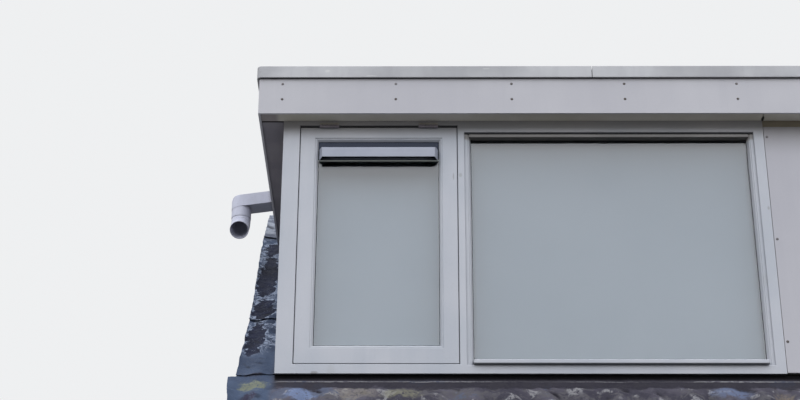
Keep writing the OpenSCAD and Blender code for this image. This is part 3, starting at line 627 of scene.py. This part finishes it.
hinge_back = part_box("casement_hinges")[1].y
hinge_half = 0.044
leaf_thick = 0.0023
leaf_front = hinge_back - 0.0024
leaf_top = head_foot + 0.0115
middles = [unit * middle for unit in (-1, 1) for middle in (2.4305, 1.9835)]
barrel = 0.0062
groove = 0.0052
knuckle = turned([(0.0055, -hinge_half), (barrel, -hinge_half + 0.0006), (barrel, -0.0155),
                  (groove, -0.0150), (groove, -0.0146), (barrel, -0.0141), (barrel, 0.0141),
                  (groove, 0.0146), (groove, 0.0150), (barrel, 0.0155), (barrel, hinge_half - 0.0006),
                  (0.0055, hinge_half)], 20)
hinge_parts = []
for middle in middles:
    under_head = Matrix.Translation((middle, hinge_back - 0.0049, head_foot - 0.0080))
    hinge_parts.append(copied(knuckle, under_head @ Matrix.Rotation(math.pi / 2, 4, "Y")))
    leaf = upright_plate((middle, leaf_front, (head_foot + leaf_top) / 2), 2 * hinge_half,
                         leaf_top - head_foot)
    bpy.ops.mesh.bevel(offset=0.003, segments=3, affect="VERTICES")
    push_back(leaf_thick)
    bpy.ops.object.mode_set(mode="OBJECT")
    hinge_parts.append(leaf)
bpy.data.objects.remove(knuckle)
hinges = finished(settled(*hinge_parts), "hinge_knuckles", finish)
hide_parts("casement_hinges")
places = [(middle + step, leaf_front, leaf_top - 0.0048)
          for middle in middles for step in (-0.033, -0.011, 0.011, 0.033)]
screws("hinge_screws", places, (0, -1, 0), finish)


# Soffit boards under the overhang, painted and gone dull, with algae streaks and painted shade in the
# corner. The side boards are darker all over and the front ones towards their ends, both as painted shade.
front_low, front_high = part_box("soffit_front")


def dull_board(name, pale, stained, algae, dark_end):
    finish, tree, surface = new_finish(name)
    damp = use(tree, weather, Streaks=3.0, Drop=3.0, Patches=3.5)
    wood = use(tree, grain, Across=(3.0, 30.0, 30.0), Knots=(1.5, 4.0, 4.0))
    worn = use(tree, edges, Radius=0.0015, Wear=0.4)
    place = axes(tree)
    end = spread(sums("ABSOLUTE", place[0]), dark_end, dark_end + 0.03)
    wall_joint = times(spread(place[1], -0.047, -0.043, 1.0, 0.0),
                       spread(place[1], -0.0535, -0.0515))
    butt_joint = use(tree, spot, Centre=(-0.4745, -0.074, front_low.z), Size=(0.0085, 0.032, 0.02),
                     Ragged=0.004)["Mask"]
    colour = coats(
        blend(damp["Patches"], pale, stained),
        (damp["Streaks"], algae, 0.35),
        # Painted shade towards the ends of the front boards
        (end, shade(122, 112, 116), 0.75),
        (wall_joint, shade(14, 14, 14)),
        (butt_joint, shade(8, 8, 8)),
        # Painted shade in the corner
        (use(tree, painted_shade, Reach=0.03)["Corners"], shade(70, 66, 60)))
    feed(surface, Base_Color=colour, Roughness=spread(damp["Patches"], 0.0, 1.0, 0.52, 0.7),
         Normal=bumped(wood["Grain"], 0.2, 0.0008, worn["Normal"]))
    return finish


finish_nodes(dull_board("dull painted soffit", shade(203, 199, 189), shade(191, 185, 175),
                        shade(155, 150, 125), 2.648), "soffit_front")
# The side boards take darker tones all over, as painted shade
finish_nodes(dull_board("shaded side soffit", shade(136, 131, 136), shade(124, 120, 127),
                        shade(115, 113, 112), 3.0), "soffit_sides")


# Black strips in the joint between the front soffit and each side soffit, pressed up to the joists. They
# stand for the shade in that joint; slightly bulged and set back a little from the boards' faces.
def edit_faces(piece, wanted):
    bpy.ops.mesh.select_all(action="DESELECT")
    mesh = bmesh.from_edit_mesh(piece.data)
    for face in mesh.faces:
        face.select = wanted(face)
    mesh.select_flush(True)
    bmesh.update_edit_mesh(piece.data)


for side, turn in sides:
    bpy.ops.object.select_all(action="DESELECT")
    middle = (turn * (front_high.x - 0.052), front_high.y + 0.003, front_low.z + 0.007)
    bpy.ops.mesh.primitive_cylinder_add(vertices=12, radius=0.0029, depth=0.1, location=middle,
                                        rotation=(0, math.pi / 2, 0))
    strip = bpy.context.active_object
    bpy.ops.object.transform_apply(location=True, rotation=True, scale=True)
    bpy.ops.object.mode_set(mode="EDIT")
    edit_faces(strip, lambda face: abs(face.normal.x) > 0.9)
    bpy.ops.mesh.inset(thickness=0.0008)
    edit_faces(strip, lambda face: face.normal.z > 0.5)
    bpy.ops.transform.resize(value=(1, 0.96, 0.4), center_override=middle)
    bpy.ops.object.mode_set(mode="OBJECT")
    bpy.ops.object.shade_smooth_by_angle(angle=math.radians(40))
    finished(strip, "soffit_joint_" + side, rubber)


# Fascia boards round the roof box: the same laminate, butted at the middle of the front.
# Behind the trim's foot the boards are near black, as painted shade.
fascia_tones = (shade(180, 179, 183), shade(176, 175, 180), shade(167, 166, 172))
finish_nodes(laminate("grey laminate fascia", fascia_tones, (1.5048, 1.5056, 0.99), shade(6, 6, 7),
                      corners=0.0), "fascia_front", "fascia_sides")
board_low, board_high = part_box("fascia_front")
rows = (1.478, 1.398)
ends = (2.643, 2.130, 1.607, 1.0975, 0.590, 0.080)
screws("fascia_screws", [(unit * end, board_low.y, z) for unit in (-1, 1) for end in ends for z in rows],
       (0, -1, 0))
for side, turn in sides:
    places = [(turn * board_high.x, y, z) for y in (-0.10, 0.22, 0.54, 0.86, 1.12) for z in rows]
    screws("side_fascia_screws_" + side, places, (turn, 0, 0))
bpy.data.objects.remove(screw_head)


# Roof trim: aluminium lengths with a rounded bead, bonded over the edge of the roofing.
# Mill finish, dulled to grey, with rain marks from its upper edge and a few pale scuffs.
finish, tree, surface = new_finish("weathered aluminium trim", Metallic=0.35)
rain = use(tree, weather, Streaks=26.0, Drop=5.0, Patches=2.4)
worn = use(tree, edges, Radius=0.0015, Wear=0.5)
# Painted shade, near black, where the trim closes in behind its bead; painted highlight on rubbed edges
shade_behind = spread(shut_in(tree, 0.016), 0.25, 0.6, 1.0, 0.0)
scuff_places = ((-2.44, 1.540, 0.016, 0.009), (-2.24, 1.515, 0.030, 0.004),
                (-1.72, 1.552, 0.020, 0.005), (1.31, 1.530, 0.018, 0.008))
scuffs = [(use(tree, spot, Centre=(x, -0.149, up), Size=(wide, 0.03, tall))["Mask"],
           shade(190, 190, 186), 0.4) for x, up, wide, tall in scuff_places]
colour = coats(
    blend(rain["Patches"], shade(162, 162, 163), shade(154, 154, 156)),
    (rain["Streaks"], shade(138, 138, 141), 0.25),
    *scuffs,
    (worn["Rubbed"], shade(190, 190, 192)),
    (shade_behind, shade(10, 10, 11)))
feed(surface, Base_Color=colour, Roughness=spread(rain["Patches"], 0.0, 1.0, 0.4, 0.58),
     Specular_IOR_Level=spread(shade_behind, 0.0, 1.0, 0.5, 0.0), Normal=worn["Normal"])
finish_nodes(finish, "trim_front_left", "trim_front_middle", "trim_front_right", "trim_sides")


# Roofing felt: mineral-faced sheets torched down on the deck, with laps not quite a metre apart.
# The grit has kept its dark grey, a little green where water stands.
felt, tree, surface = new_finish("mineral felt", Roughness=0.9)
grit = put(tree, "TexVoronoi", {"Vector": object_place(tree), "Scale": 380.0}).outputs["Distance"]
damp = use(tree, weather, Streaks=2.0, Drop=2.0, Patches=2.0)
colour = coats(
    blend(grit, shade(62, 62, 64), shade(104, 103, 102)),
    (damp["Patches"], shade(74, 78, 66), 0.5),
    (damp["Streaks"], shade(52, 52, 54), 0.4))
feed(surface, Base_Color=colour, Normal=bumped(grit, 0.6, 0.0015))
finish_nodes(felt, "roof_membrane")


def add_grid(columns, rows):
    bpy.ops.object.select_all(action="DESELECT")
    bpy.ops.mesh.primitive_grid_add(x_subdivisions=columns, y_subdivisions=rows, size=1)
    piece = bpy.context.active_object
    flat = np.zeros(len(piece.data.vertices) * 3)
    piece.data.vertices.foreach_get("co", flat)
    return piece, flat.reshape(-1, 3)


def set_points(piece, points):
    piece.data.vertices.foreach_set("co", np.asarray(points, float).ravel())
    piece.data.update()


def thicken(piece, thickness, offset):
    select_only(piece)
    wall = piece.modifiers.new("wall", "SOLIDIFY")
    wall.thickness = thickness
    wall.offset = offset
    wall.use_even_offset = False
    bpy.ops.object.modifier_apply(modifier="wall")


deck_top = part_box("roof_deck")[1].z + 0.0042
deck_front = -0.070
lap_width = 0.11
for order, middle in enumerate((-1.84, -0.92, 0.0, 0.92, 1.84)):
    strip, flat = add_grid(8, 90)
    points = []
    for x, y, rest in flat:
        run = deck_front + (y + 0.5) * (deck_top + 0.066)
        wander = 0.006 * noise.noise(Vector((run * 4, order * 5.1, 0))) * (1 if x > 0 else 0.3)
        lift = 0.0012 * abs(noise.noise(Vector((run * 9, x * 2, order * 3.3)))) * (2 * abs(x)) ** 2
        points.append((middle + x * lap_width + wander, run, deck_top + lift))
    set_points(strip, points)
    thicken(strip, 0.0035, 1)
    finished(strip, "felt_lap_%d" % order, felt)


# Roller blinds behind every pane: pale cloth, a little wavy, hung from a cassette at the head.
# The cassettes are white mouldings; a flat white bar in the hem keeps the cloth straight.
moulding, tree, surface = new_finish("white cassette", Roughness=0.4)
dust = use(tree, weather, Streaks=8.0, Drop=8.0, Patches=4.0)
colour = blend(dust["Patches"], shade(224, 224, 222), shade(210, 210, 206))
feed(surface, Base_Color=colour, Normal=use(tree, edges, Radius=0.002, Wear=0.3)["Normal"])
finish_nodes(moulding, "blind_cassettes")

cloth, tree, surface = new_finish("blind cloth", Roughness=0.85)
threads = vectors("MULTIPLY", object_place(tree), (1500.0, 1.0, 1100.0))[0]
weave = mottle(threads, 1.0, 2.0)
dust = use(tree, weather, Streaks=6.0, Drop=1.0, Patches=1.5)
colour = coats(
    blend(dust["Patches"], shade(164, 173, 183), shade(157, 167, 178)),
    (weave, shade(146, 154, 162), 0.06))
feed(surface, Base_Color=colour, Normal=bumped(weave, 0.03, 0.0003))


def hang_blind(node, seed):
    low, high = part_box(node)
    wide = high.x - low.x
    tall = high.z - low.z
    piece, flat = add_grid(max(8, int(wide / 0.02)), int(tall / 0.03))
    points = []
    for x, z, rest in flat:
        across = low.x + (x + 0.5) * wide
        up = low.z + (z + 0.5) * tall
        fall = 0.5 - z
        wave = 0.0022 * noise.noise(Vector((across * 3.0, up * 0.6, seed))) * fall
        curl = 0.0012 * (2 * x) ** 6 * fall
        points.append((across, low.y + 0.001 + abs(wave) - min(curl, 0.0008), up))
    set_points(piece, points)
    thicken(piece, 0.0006, 0)
    bpy.ops.object.shade_smooth()
    bpy.ops.object.select_all(action="DESELECT")
    bpy.ops.mesh.primitive_cylinder_add(vertices=16, radius=0.5, depth=1, rotation=(0, math.pi / 2, 0))
    bar = bpy.context.active_object
    bar.scale = (0.022, 0.009, wide - 0.002)
    bar.location = ((low.x + high.x) / 2, low.y + 0.0055, low.z + 0.012)
    bpy.ops.object.transform_apply(location=True, rotation=True, scale=True)
    bpy.ops.object.mode_set(mode="EDIT")
    bpy.ops.mesh.select_all(action="DESELECT")
    mesh = bmesh.from_edit_mesh(bar.data)
    for face in mesh.faces:
        face.select = abs(face.normal.x) > 0.9
    bmesh.update_edit_mesh(bar.data)
    bpy.ops.mesh.inset(thickness=0.0012)
    bpy.ops.object.mode_set(mode="OBJECT")
    finished(piece, node.replace("blind", "blind_cloth"), cloth)
    finished(bar, node.replace("blind", "blind_bar"), moulding)
    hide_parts(node)


for order, node in enumerate(("blind_left_casement", "blind_left_fixed", "blind_right_casement",
                              "blind_right_fixed")):
    hang_blind(node, 3.7 * order)


# Lead: the apron under the windows and the lapped side flashings, dressed by hand over the rolls
# Weathered to dark blue-grey, with lacy white crusts, some lichen, and painted light and shade on the
# folds.
slope = math.sqrt(0.5)
roll_spacing = 0.150
roll_height = 0.030
crest_beside = 18 * roll_spacing
lead_thick = 0.0022
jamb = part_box("window_frame_right")[1].x + 0.0015
sole_low, sole_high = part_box("front_sole")
apron_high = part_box("lead_apron")[1]
flashing_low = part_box("lead_side_right")[0]
ear_length = 0.205
fold_y = sole_low.y - 0.003
fold_z = apron_high.z - slope * 0.213

lead, tree, surface = new_finish("weathered lead", Specular_IOR_Level=0.06)
place = object_place(tree)
along = axes(tree)
outward = sums("ABSOLUTE", along[0])
run_up = times(sums("ADD", along[1], along[2]), slope)
raised = put(tree, "Attribute", attribute_name="raised").outputs["Fac"]
clouds = mottle(place, 4.6, 5.0, 0.6)
patches = mottle(place, 12.0, 7.0, 0.7, 0.7)
lace = mottle(place, 44.0, 8.0, 0.76, 1.4)

# Beside the windows: blue-grey, with bare dark spots in a rim of crust, and paler near the roof
bare_spots = ((-2.768, 1.70, 0.034, 0.13), (-2.764, 1.50, 0.032, 0.12), (-2.756, 1.25, 0.050, 0.34),
              (-2.748, 0.83, 0.046, 0.18), (-2.758, 0.46, 0.038, 0.28), (2.760, 1.54, 0.042, 0.30),
              (2.752, 1.04, 0.046, 0.24), (2.746, 0.50, 0.042, 0.28))
bare = 0.0
for x, up, wide, tall in bare_spots:
    centre = (x, fold_y + slope * up, fold_z + slope * up)
    washed = use(tree, spot, Centre=centre, Size=(wide * 1.35, tall, tall), Fineness=26.0, Ragged=0.11)
    bare = sums("MAXIMUM", bare, washed["Mask"])
upper = spread(run_up, 0.24, 0.40)
halo = times(spread(bare, 0.0, 0.12), upper)
bare = spread(bare, 0.38, 0.52)
rim = sums("MAXIMUM", times(upper, spread(patches, 0.49, 0.53)), halo)
rim = times(rim, spread(bare, 0.0, 0.7, 1.0, 0.0))
fine = times(spread(lace, 0.60, 0.66), spread(run_up, 0.1, 0.4))
beside = coats(
    blend(spread(clouds, 0.3, 0.65), shade(56, 65, 83), shade(73, 85, 106)),
    (bare, blend(spread(patches, 0.4, 0.6), shade(25, 28, 43), shade(38, 42, 60))),
    (times(rim, spread(lace, 0.47, 0.51)), shade(146, 156, 174)),
    (fine, shade(150, 158, 172), 0.7),
    (spread(run_up, 1.86, 1.95), blend(spread(patches, 0.42, 0.58), shade(92, 96, 108),
                                       shade(142, 146, 154)), 0.8),
    # Painted shade in the hollows of the folds
    (spread(raised, 0.40, 0.12, 0.0, 0.8), shade(22, 23, 32)))

# Below the windows: warmer grey, with a painted highlight on the creases and painted shade in the hollows
# and under the sole
bloom = times(spread(patches, 0.50, 0.55), spread(lace, 0.42, 0.50))
crest_highlight = times(spread(raised, 0.62, 0.72), spread(lace, 0.45, 0.49))
drift = sums("ADD", along[1], times(sums("SUBTRACT", patches, 0.5), 0.13))
# Painted shade in the valley below the ridge
damp = times(spread(drift, -0.122, -0.104), spread(raised, 0.70, 0.80, 1.0, 0.0))
below = coats(
    blend(spread(clouds, 0.40, 0.60), shade(60, 58, 67), shade(84, 81, 90)),
    (bloom, shade(84, 82, 86)),
    (spread(clouds, 0.58, 0.62), shade(78, 88, 108), 0.6),
    (crest_highlight, shade(130, 129, 131), 0.9),
    (spread(raised, 0.14, 0.40, 1.0, 0.0), shade(38, 36, 43)),
    (damp, shade(44, 42, 49), 0.85))
colour = blend(spread(outward, jamb - 0.02, jamb + 0.025), below, beside)

# Lichen, rust from the tiles and blue patches painted as sky reflections, each with its place, size,
# strength
stains = [((-2.722, -0.094, 0.030), (0.075, 0.055, 0.055), 0.7, shade(124, 127, 104), 0.09),
          ((-2.742, -0.166, -0.041), (0.052, 0.060, 0.060), 0.90, shade(54, 50, 66), 0.05),
          ((-2.730, -0.020, 0.104), (0.060, 0.022, 0.022), 0.85, shade(44, 42, 50), 0.04),
          ((-2.518, -0.160, -0.036), (0.075, 0.075, 0.075), 0.8, shade(108, 122, 152), 0.08),
          ((-2.096, -0.150, -0.026), (0.100, 0.045, 0.045), 0.6, shade(122, 120, 102), 0.08),
          ((-2.290, -0.150, -0.026), (0.120, 0.060, 0.060), 0.55, shade(132, 126, 118), 0.06),
          ((-0.520, -0.180, -0.050), (0.050, 0.060, 0.060), 0.6, shade(128, 116, 100), 0.06),
          ((-0.730, -0.146, -0.021), (0.110, 0.060, 0.060), 0.65, shade(100, 112, 140), 0.05),
          ((2.300, -0.160, -0.040), (0.060, 0.060, 0.060), 0.70, shade(118, 134, 168), 0.05),
          ((2.690, -0.120, 0.004), (0.060, 0.050, 0.050), 0.60, shade(122, 122, 102), 0.06)]
open_lace = spread(lace, 0.42, 0.48)
for centre, size, strength, tone, ragged in stains:
    stain = use(tree, spot, Centre=centre, Size=size, Fineness=34.0, Ragged=ragged)["Mask"]
    colour = coats(colour, (times(stain, open_lace), tone, strength))
# Painted shadow under the sole, and painted shade in corners and under the laps
sole_shadow = times(spread(along[1], fold_y - 0.034, fold_y - 0.012),
                  spread(outward, jamb - 0.006, jamb, 1.0, 0.0))
colour = coats(
    colour,
    (sole_shadow, shade(13, 12, 15)),
    (use(tree, painted_shade, Reach=0.012)["Corners"], shade(16, 16, 20)))
rough_face = sums("ADD", mottle(place, 75.0, 4.0), times(lace, 0.6))
feed(surface, Base_Color=colour, Roughness=spread(lace, 0.40, 0.62, 0.46, 0.76),
     Normal=bumped(rough_face, 0.6, 0.002))


def ease(value, low, high):
    share = min(max((value - low) / (high - low), 0.0), 1.0)
    return share * share * (3 - 2 * share)


def on_slope(x, up, off):
    return (x, fold_y + slope * (up - off), fold_z + slope * (up + off))


def dressed(x, up):
    out = abs(x)
    rolls = roll_height * (math.cos(math.tau * x / roll_spacing) - 1) / 2
    hollow = 0.0045 * (math.cos(math.tau * (out - crest_beside) / roll_spacing) - 1)
    if out < crest_beside:
        hollow = -0.004 * ease(crest_beside - out, 0.0, 0.04)
    low_down = ease(-up, 0.05, 0.2)
    hollow = hollow * (1 - low_down) + rolls * low_down
    over = ease(out, 2.60, 2.67)
    return rolls * ease(-up, 0.07, 0.23) * (1 - over) + hollow * over


def creases(x, up, size, seed):
    turned_x = 0.87 * x + 0.5 * up
    turned_up = 0.87 * up - 0.5 * x
    place = Vector((turned_x / size, turned_up / (1.7 * size), seed))
    folds = noise.ridged_multi_fractal(place, 0.9, 2.1, 3, 1.0, 1.8)
    return min(max(folds - 1.0, -1.0), 1.0)


def facets(x, up):
    total = 0.0
    for direction, size in ((0.35, 0.150), (1.30, 0.120), (2.45, 0.190)):
        along = x * math.cos(direction) + up * math.sin(direction)
        along += 0.060 * noise.noise(Vector((x * 6, up * 9, direction)))
        total += abs(2 * (along / size % 1) - 1)
    return total / 3


def lead_grid(columns, rows, shape):
    piece, flat = add_grid(columns, rows)
    points = []
    heights = []
    for across, along, rest in flat:
        point, height = shape(across + 0.5, along + 0.5)
        points.append(point)
        heights.append(height)
    set_points(piece, points)
    piece.data.attributes.new("raised", "FLOAT", "POINT").data.foreach_set("value", heights)
    return piece


def dress_lead(sheets, name, node, crisp):
    select_only(*sheets)
    bpy.ops.object.join()
    bpy.ops.object.mode_set(mode="EDIT")
    bpy.ops.mesh.select_all(action="SELECT")
    bpy.ops.mesh.remove_doubles(threshold=0.00005)
    bpy.ops.object.mode_set(mode="OBJECT")
    thicken(sheets[0], lead_thick, -1)
    bpy.ops.object.shade_smooth_by_angle(angle=math.radians(crisp))
    finished(sheets[0], name, lead)
    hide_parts(node)


front_columns = 558
ear_columns = 21


def on_apron(x, up):
    wander = 0.005 * noise.noise(Vector((x * 1.6, 0, 3)))
    fullness = 0.7 + 0.5 * noise.noise(Vector((x * 2.3, 5, 0)))
    ridge = 0.006 * fullness * math.exp(-((up + 0.052 + wander) / 0.008) ** 2)
    ridge *= ease(jamb + 0.03 - abs(x), 0.0, 0.05)
    valley = 0.009 * math.exp(-((up + 0.087 + wander) / 0.024) ** 2)
    fold = creases(x, up, 0.060, 1.0)
    depth = 0.0012 + 0.0038 * ease(-up, 0.04, 0.11)
    low_down = ease(-up, 0.085, 0.13)
    crest = facets(x, up) - 0.5
    small = creases(x, up, 0.034, 5.0)
    folded = depth * fold + (0.020 * crest + 0.0025 * small) * low_down
    off = 0.003 + dressed(x, up) + (ridge - valley) * ease(-up, 0.0, 0.03) + folded
    # 'raised' carries the ridge and crests up and the valley down, for painted highlights and painted shade
    seen = (0.15 * fold + 0.18 * small + 0.7 * crest) * low_down
    return on_slope(x, up, off), 0.5 + seen + 80 * ridge - 22 * valley


def apron_x(share, columns):
    place = (share - 0.5) * columns
    inner = front_columns / 2
    if abs(place) <= inner + 0.01:
        return jamb * place / inner
    return math.copysign(jamb + (abs(place) - inner) / ear_columns * (apron_high.x - jamb), place)


def tapered(x, up):
    if abs(x) <= jamb + 0.0001:
        return x
    edge = apron_high.x - 0.001 - 0.019 * ease(-up, 0.02, 0.25) - 0.033 * ease(up, 0.008, 0.028)
    edge -= 0.003 * abs(noise.noise(Vector((up * 14, x, 2))))
    return math.copysign(jamb + (abs(x) - jamb) * (edge - jamb) / (apron_high.x - jamb), x)


def apron_front(across, along):
    x = apron_x(across, front_columns + 2 * ear_columns)
    foot = 0.343 + 0.008 * noise.noise(Vector((x * 6, 0, 7)))
    up = -foot * (1 - along) ** 1.15
    return on_apron(tapered(x, up), up)


def apron_upstand(across, along):
    x = apron_x(across, front_columns)
    point, height = on_apron(x, 0.0)
    top = sole_high.z - 0.001
    return (x, fold_y + (point[1] - fold_y) * (1 - along), point[2] + (top - point[2]) * along), 0.3


def apron_ear(turn):
    def shape(across, along):
        x = turn * jamb + (across - (0.5 - turn / 2)) * (apron_high.x - jamb)
        up = ear_length * along
        return on_apron(tapered(x, up), up)
    return shape


sheets = [lead_grid(front_columns + 2 * ear_columns, 40, apron_front),
          lead_grid(front_columns, 3, apron_upstand),
          lead_grid(ear_columns, 24, apron_ear(1)),
          lead_grid(ear_columns, 24, apron_ear(-1))]
dress_lead(sheets, "lead_sheet_apron", "lead_apron", 20)

wall_x = flashing_low.x + 0.003
corner_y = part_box("window_frame_right")[1].y + 0.0015
ceiling_up = (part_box("soffit_sides")[0].z - 0.002 - fold_z) / slope
flashing_feet = [0.032, 0.689, 1.884, 2.282]
curls = [0.002, 0.006, 0.007]
lap_length = 0.09
bend = 0.009


def flashing_length(turn, order):
    foot = flashing_feet[order]
    following = flashing_feet[order + 1]
    head = min(following + lap_length, flashing_feet[-1])

    def shape(across, along):
        share = across if turn > 0 else 1 - across
        up = foot + (head - foot) * along
        run = fold_y + slope * up
        height = fold_z + slope * up
        beside_frame = run < corner_y
        under_roof = ceiling_up - up < 0.014
        inner = jamb - 0.0007 if beside_frame else wall_x + 0.0033 * (order % 2)
        inner = flashing_low.x + 0.0120 if under_roof else inner
        standing = 0.0 if beside_frame or under_roof else min(0.066, ceiling_up - up - 0.004)
        edge = 2.803 + 0.031 * ease(run, 0.4, 1.4) + 0.005 * noise.noise(Vector((up * 11, turn, order)))
        edge = min(edge, 2.8310)
        if share < 0.2:
            x = inner
            rise = bend + max(standing - bend, 0.0) * (1 - share / 0.2)
        elif share < 0.3:
            angle = (share - 0.2) / 0.1 * math.pi / 2
            x = inner + bend * (1 - math.cos(angle))
            rise = bend * (1 - math.sin(angle))
        else:
            x = inner + bend + (edge - inner - bend) * (share - 0.3) / 0.7
            rise = 0.0
        covered = ease(height, 1.27, 1.31) * (1 - ease(x, 2.755, 2.775))
        fold = creases(turn * x, up, 0.055, 9.0)
        crumpled = 0.0045 * ease(x, 2.765, 2.785) * ease(run, 1.15, 1.32)
        depth = (0.0024 + crumpled) * (1 - covered) * ease(share, 0.2, 0.4)
        lip = 0.004 * ease(x, edge - 0.012, edge) * (0.6 + 0.8 * noise.noise(Vector((up * 9, turn, 4))))
        uneven = 0.7 + 0.6 * noise.noise(Vector((x * 22, order, turn)))
        curl = curls[order] * (1 - ease(up, foot, foot + 0.035)) ** 2 * uneven * (1 - covered)
        layer = 0.0036 * (1 - (up - foot) / (following - foot))
        off = 0.003 + dressed(x, up) + layer + curl + depth * fold + lip * (1 - covered) + rise
        return on_slope(turn * x, up, off), 0.5 + 0.36 * fold
    return lead_grid(36, int((head - foot) / 0.008), shape)


for side, turn in sides:
    sheets = [flashing_length(turn, order) for order in range(3)]
    dress_lead(sheets, "lead_sheets_" + side, "lead_side_" + side, 50)


# Rain outlet, bend and mouth: grey moulded pipe, solvent jointed, with painted shade on its undersides. The
# mouth is a length of the same pipe with its rim thinned, with a brown painted shade inside.
finish, tree, surface = new_finish("bleached grey pipe")
rain = use(tree, weather, Streaks=20.0, Drop=8.0, Patches=9.0)
worn = use(tree, edges, Radius=0.0015, Wear=0.3)
shade_mask = use(tree, painted_shade, Reach=0.05)
colour = coats(
    blend(rain["Patches"], shade(196, 198, 213), shade(188, 190, 204)),
    (rain["Streaks"], shade(160, 162, 178), 0.3),
    (rain["Specks"], shade(120, 120, 126), 0.2),
    # Painted highlight on rubbed edges; painted shade on undersides and, brown, inside the mouth
    (worn["Rubbed"], shade(214, 214, 224)),
    (shade_mask["Undersides"], shade(84, 84, 88), 0.4),
    (spread(shade_mask["Shut"], 0.42, 0.56, 1.0, 0.0), shade(86, 80, 76)))
feed(surface, Base_Color=colour, Roughness=spread(rain["Patches"], 0.0, 1.0, 0.36, 0.5),
     Normal=worn["Normal"])
finish_nodes(finish, "rain_outlet", "rain_bend", "rain_spout")

spout_low, spout_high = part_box("rain_spout")
outer = (spout_high.x - spout_low.x) / 2
bore = 0.0402
length = (spout_high.z - spout_low.z) / slope - 2 * outer
middle = (spout_low.x + spout_high.x) / 2
seat = Vector((middle, spout_high.y - slope * outer, spout_high.z - slope * outer))
spout = turned([(outer - 0.0015, 0.0), (outer, 0.0015), (outer, length - 0.0008), (outer - 0.0006, length),
                (outer - 0.0022, length), (outer - 0.0034, length - 0.003), (bore, length - 0.007),
                (bore, 0.004), (bore - 0.0004, 0.0), (outer - 0.0015, 0.0)], 64, True)
spout.matrix_world = Matrix.Translation(seat) @ upright_to((0, -slope, -slope))
finished(settled(spout), "spout_mouth", finish)
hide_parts("rain_spout")


# Floor and daylight: a pale floor, and an overcast sky that is brightest in front of the dormer.
# What the lens and the glass see of both is a plain pale grey.
def seen_plainly(tree):
    ray = put(tree, "LightPath").outputs
    return sums("MAXIMUM", ray["Is Camera Ray"], ray["Is Transmission Ray"])


bpy.ops.object.select_all(action="DESELECT")
bpy.ops.mesh.primitive_plane_add(size=60, location=(0, 0, cad_low.z - 0.002))
floor = bpy.context.active_object
floor.name = "floor"
finish, tree, surface = new_finish("pale floor", Roughness=0.9)
colour = blend(seen_plainly(tree), (0.22, 0.22, 0.22, 1), (0.563, 0.551, 0.518, 1))
feed(surface, Base_Color=colour)
open_below = put(tree, "BsdfTransparent")
either(tree, put(tree, "NewGeometry").outputs["Backfacing"], surface, open_below)
floor.data.materials.append(finish)
floor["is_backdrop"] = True

sky = bpy.data.worlds.new("overcast sky")
sky.use_nodes = True
bpy.context.scene.world = sky
tree = sky.node_tree
ground = tree.nodes["Background"]
way = put(tree, "SeparateXYZ", {0: put(tree, "TexCoord").outputs["Generated"]}).outputs
front = spread(way[1], -0.6, 0.6, 1.0, 0.0)
risen = spread(way[2], 0.18, 0.42)
low_light = 0.27
bright = sums("ADD", times(front, 1.55), 0.95 - low_light)
feed(ground, Strength=sums("ADD", times(risen, bright), low_light),
     Color=blend(risen, (1.05, 1.0, 0.93, 1), (0.955, 0.985, 1.05, 1)))
backdrop = put(tree, "Background", {"Color": (0.86, 0.87, 0.88, 1), "Strength": 1.0})
either(tree, seen_plainly(tree), ground, backdrop, "World Output")
bpy.context.scene.cycles.caustics_refractive = False
bpy.context.scene.cycles.caustics_reflective = False
bpy.context.scene.view_settings.view_transform = "Standard"


# The size of the dressed dormer, over all the pieces that are shown.
low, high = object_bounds()
